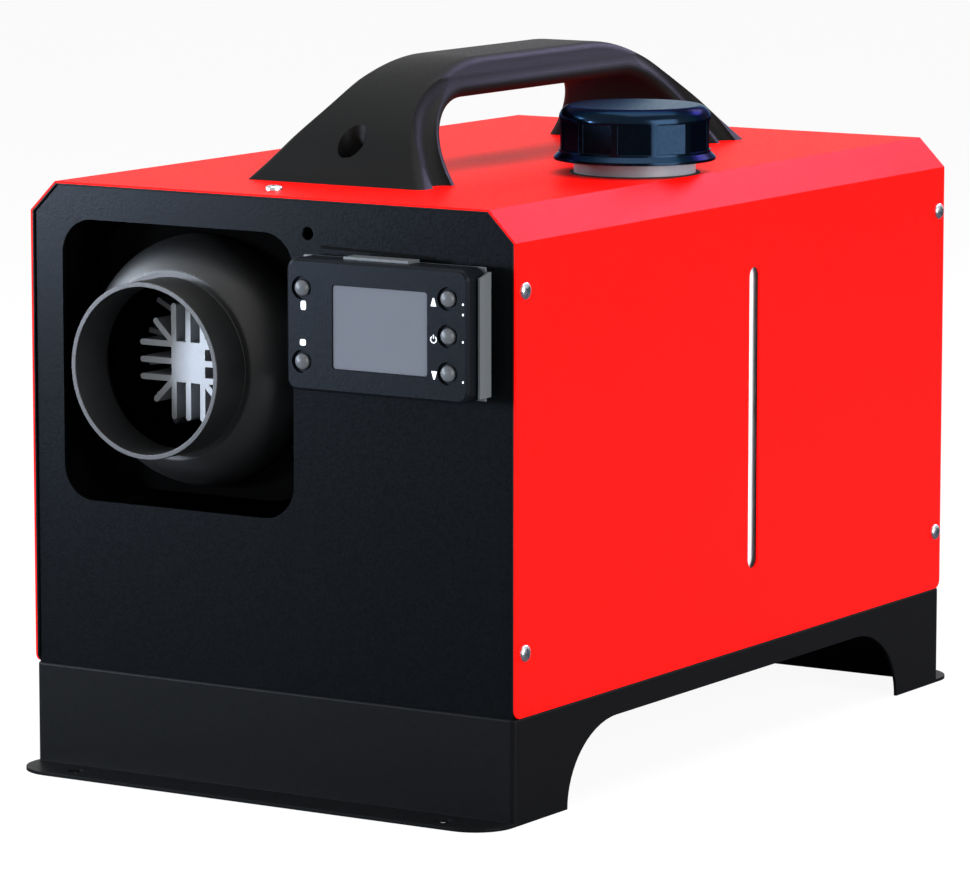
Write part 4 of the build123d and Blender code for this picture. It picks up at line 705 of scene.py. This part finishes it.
def makeScrews():
    # cross-recess pan heads in place of the CAD ones, each facing out of its own sheet
    spots, ways = [], []
    coverLow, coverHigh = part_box("shell_cover")
    for low, high in solidBoxes("cover_screws"):
        middle = [(a + b) / 2 for a, b in zip(low, high)]
        if high[2] > coverHigh[2] + panHead["standsOut"] * mm:
            middle[2] = coverHigh[2]
            ways.append((0.0, 0.0, 1.0))
        else:
            side = 1 if middle[0] > 0 else -1
            middle[0] = coverHigh[0] if side > 0 else coverLow[0]
            ways.append((float(side), 0.0, 0.0))
        spots.append(middle)
    mesh = bpy.data.meshes.new("coverScrewHeads")
    mesh.from_pydata(spots, [], [])
    facing = mesh.attributes.new("facing", "FLOAT_VECTOR", "POINT")
    for value, way in zip(facing.data, ways):
        value.vector = way
    piece = bpy.data.objects.new("coverScrewHeads", mesh)
    scene.collection.objects.link(piece)
    source = panHeadMesh()
    scene.collection.objects.link(source)

    tree, inputs = startTree("crossHeads", ("Head", "NodeSocketObject"), ("Cross", "NodeSocketFloat"),
                             ("Blade", "NodeSocketFloat"), ("Depth", "NodeSocketFloat"),
                             ("Top", "NodeSocketFloat"), ("Twist", "NodeSocketFloat"),
                             ("Seed", "NodeSocketInt"), ("Material", "NodeSocketMaterial"))
    shape = addNode(tree, "GeometryNodeObjectInfo", {"Object": inputs["Head"]}).outputs["Geometry"]
    # two bars cut the cross; both are centred on the crown, so half their depth cuts
    deep = maths(tree, "MULTIPLY", inputs["Depth"], 2.0)
    along = vector(tree, inputs["Cross"], inputs["Blade"], deep)
    across = vector(tree, inputs["Blade"], inputs["Cross"], deep)
    up = vector(tree, z=inputs["Top"])
    for size in (along, across):
        bar = addNode(tree, "GeometryNodeMeshCube", {"Size": size})
        moved = addNode(tree, "GeometryNodeTransform", {"Geometry": bar.outputs[0], "Translation": up})
        cut = addNode(tree, "GeometryNodeMeshBoolean", {"Mesh 1": shape, "Mesh 2": moved.outputs[0]},
                      operation="DIFFERENCE", solver="EXACT")
        shape = cut.outputs[0]
    way = addNode(tree, "GeometryNodeInputNamedAttribute", {"Name": "facing"}, data_type="FLOAT_VECTOR")
    aimed = addNode(tree, "FunctionNodeAlignRotationToVector", {"Vector": way.outputs[0]}, axis="Z")
    # each head stops at its own angle
    least = maths(tree, "MULTIPLY", inputs["Twist"], -1.0)
    twist = addNode(tree, "FunctionNodeRandomValue", {2: least, 3: inputs["Twist"], "Seed": inputs["Seed"]},
                    data_type="FLOAT")
    aimed = addNode(tree, "FunctionNodeRotateRotation",
                    {0: aimed.outputs[0], 1: vector(tree, z=twist.outputs[1])}, rotation_space="LOCAL")
    points = addNode(tree, "GeometryNodeMeshToPoints", {"Mesh": inputs["Geometry"]})
    placed = addNode(tree, "GeometryNodeInstanceOnPoints", {"Points": points.outputs[0], "Instance": shape,
                                                            "Rotation": aimed.outputs[0]})
    finishTree(tree, placed.outputs[0], inputs["Material"])
    grown(piece, tree, {"Head": source, "Cross": panHead["cross"] * mm, "Blade": panHead["blade"] * mm,
                        "Depth": panHead["depth"] * mm, "Top": panHead["rise"] * mm,
                        "Twist": panHead["twist"], "Seed": panHead["seed"],
                        "Material": materials["zincPlate"]}, panHead["sharp"])
    bpy.data.objects.remove(source)
    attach(piece, "root")
    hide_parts("cover_screws")


inletGuard = {
    "wire": 0.9,        # radius of the wire
    "rings": 5,
    "firstRing": 6.5,   # radius
    "spokes": 8,
    "setBack": 1.6,     # of the spokes behind the rings, in wire radii
    "rimWire": 1.25,
    "ringSteps": 64,
    "wireSteps": 10,
    "rimSteps": 12,
    "sharp": 50,        # degrees
}


def makeGuard():
    # welded wire guard: rings on one side, spokes behind them
    low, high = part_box("inlet_grille")
    centre = [(a + b) / 2 for a, b in zip(low, high)]
    outer = (high[0] - low[0]) / 2 - inletGuard["rimWire"] * mm
    piece = bpy.data.objects.new("inletWireGuard", bpy.data.meshes.new("inletWireGuard"))
    scene.collection.objects.link(piece)
    tree, inputs = startTree("wireGuard", ("Rings", "NodeSocketInt"), ("First", "NodeSocketFloat"),
                             ("Outer", "NodeSocketFloat"), ("Wire", "NodeSocketFloat"),
                             ("Rim", "NodeSocketFloat"), ("Spokes", "NodeSocketInt"),
                             ("Set Back", "NodeSocketFloat"), ("Place", "NodeSocketVector"),
                             ("Material", "NodeSocketMaterial"))
    index = addNode(tree, "GeometryNodeInputIndex").outputs[0]
    last = maths(tree, "SUBTRACT", inputs["Rings"], 1.0)
    radius = addNode(tree, "ShaderNodeMapRange", {"Value": index, "From Min": 0.0, "From Max": last,
                                                  "To Min": inputs["First"],
                                                  "To Max": inputs["Outer"]}).outputs[0]
    outline = circle(tree, inputs["Wire"], inletGuard["wireSteps"])
    each = addNode(tree, "GeometryNodePoints", {"Count": inputs["Rings"]})
    rings = addNode(tree, "GeometryNodeInstanceOnPoints",
                    {"Points": each.outputs[0], "Instance": circle(tree, 1.0, inletGuard["ringSteps"]),
                     "Scale": vector(tree, radius, radius, 1.0)})
    rings = addNode(tree, "GeometryNodeRealizeInstances", {0: rings.outputs[0]})
    ringWire = wireAlong(tree, rings.outputs[0], outline)
    behind = maths(tree, "MULTIPLY", inputs["Wire"], maths(tree, "MULTIPLY", inputs["Set Back"], -1.0))
    spoke = addNode(tree, "GeometryNodeCurvePrimitiveLine", {"Start": vector(tree, inputs["First"], z=behind),
                                                             "End": vector(tree, inputs["Outer"], z=behind)})
    turn = maths(tree, "MULTIPLY", index, maths(tree, "DIVIDE", math.tau, inputs["Spokes"]))
    each = addNode(tree, "GeometryNodePoints", {"Count": inputs["Spokes"]})
    spokes = addNode(tree, "GeometryNodeInstanceOnPoints",
                     {"Points": each.outputs[0], "Instance": wireAlong(tree, spoke.outputs[0], outline, True),
                      "Rotation": vector(tree, z=turn)})
    rim = wireAlong(tree, circle(tree, inputs["Outer"], inletGuard["ringSteps"]),
                    circle(tree, inputs["Rim"], inletGuard["rimSteps"]))
    join = addNode(tree, "GeometryNodeJoinGeometry")
    for part in (ringWire, spokes.outputs[0], rim):
        tree.links.new(part, join.inputs[0])
    # drawn flat, then stood up with its face to the rear
    stood = addNode(tree, "GeometryNodeTransform", {"Geometry": join.outputs[0],
                                                    "Translation": inputs["Place"],
                                                    "Rotation": (-math.pi / 2, 0.0, 0.0)})
    finishTree(tree, stood.outputs[0], inputs["Material"])
    grown(piece, tree, {"Rings": inletGuard["rings"], "First": inletGuard["firstRing"] * mm, "Outer": outer,
                        "Wire": inletGuard["wire"] * mm, "Rim": inletGuard["rimWire"] * mm,
                        "Spokes": inletGuard["spokes"], "Set Back": inletGuard["setBack"],
                        "Place": tuple(centre), "Material": materials["zincPlate"]}, inletGuard["sharp"])
    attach(piece, "root")
    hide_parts("inlet_grille")


makeScrews()
makeGuard()
print("screws and inlet guard made")
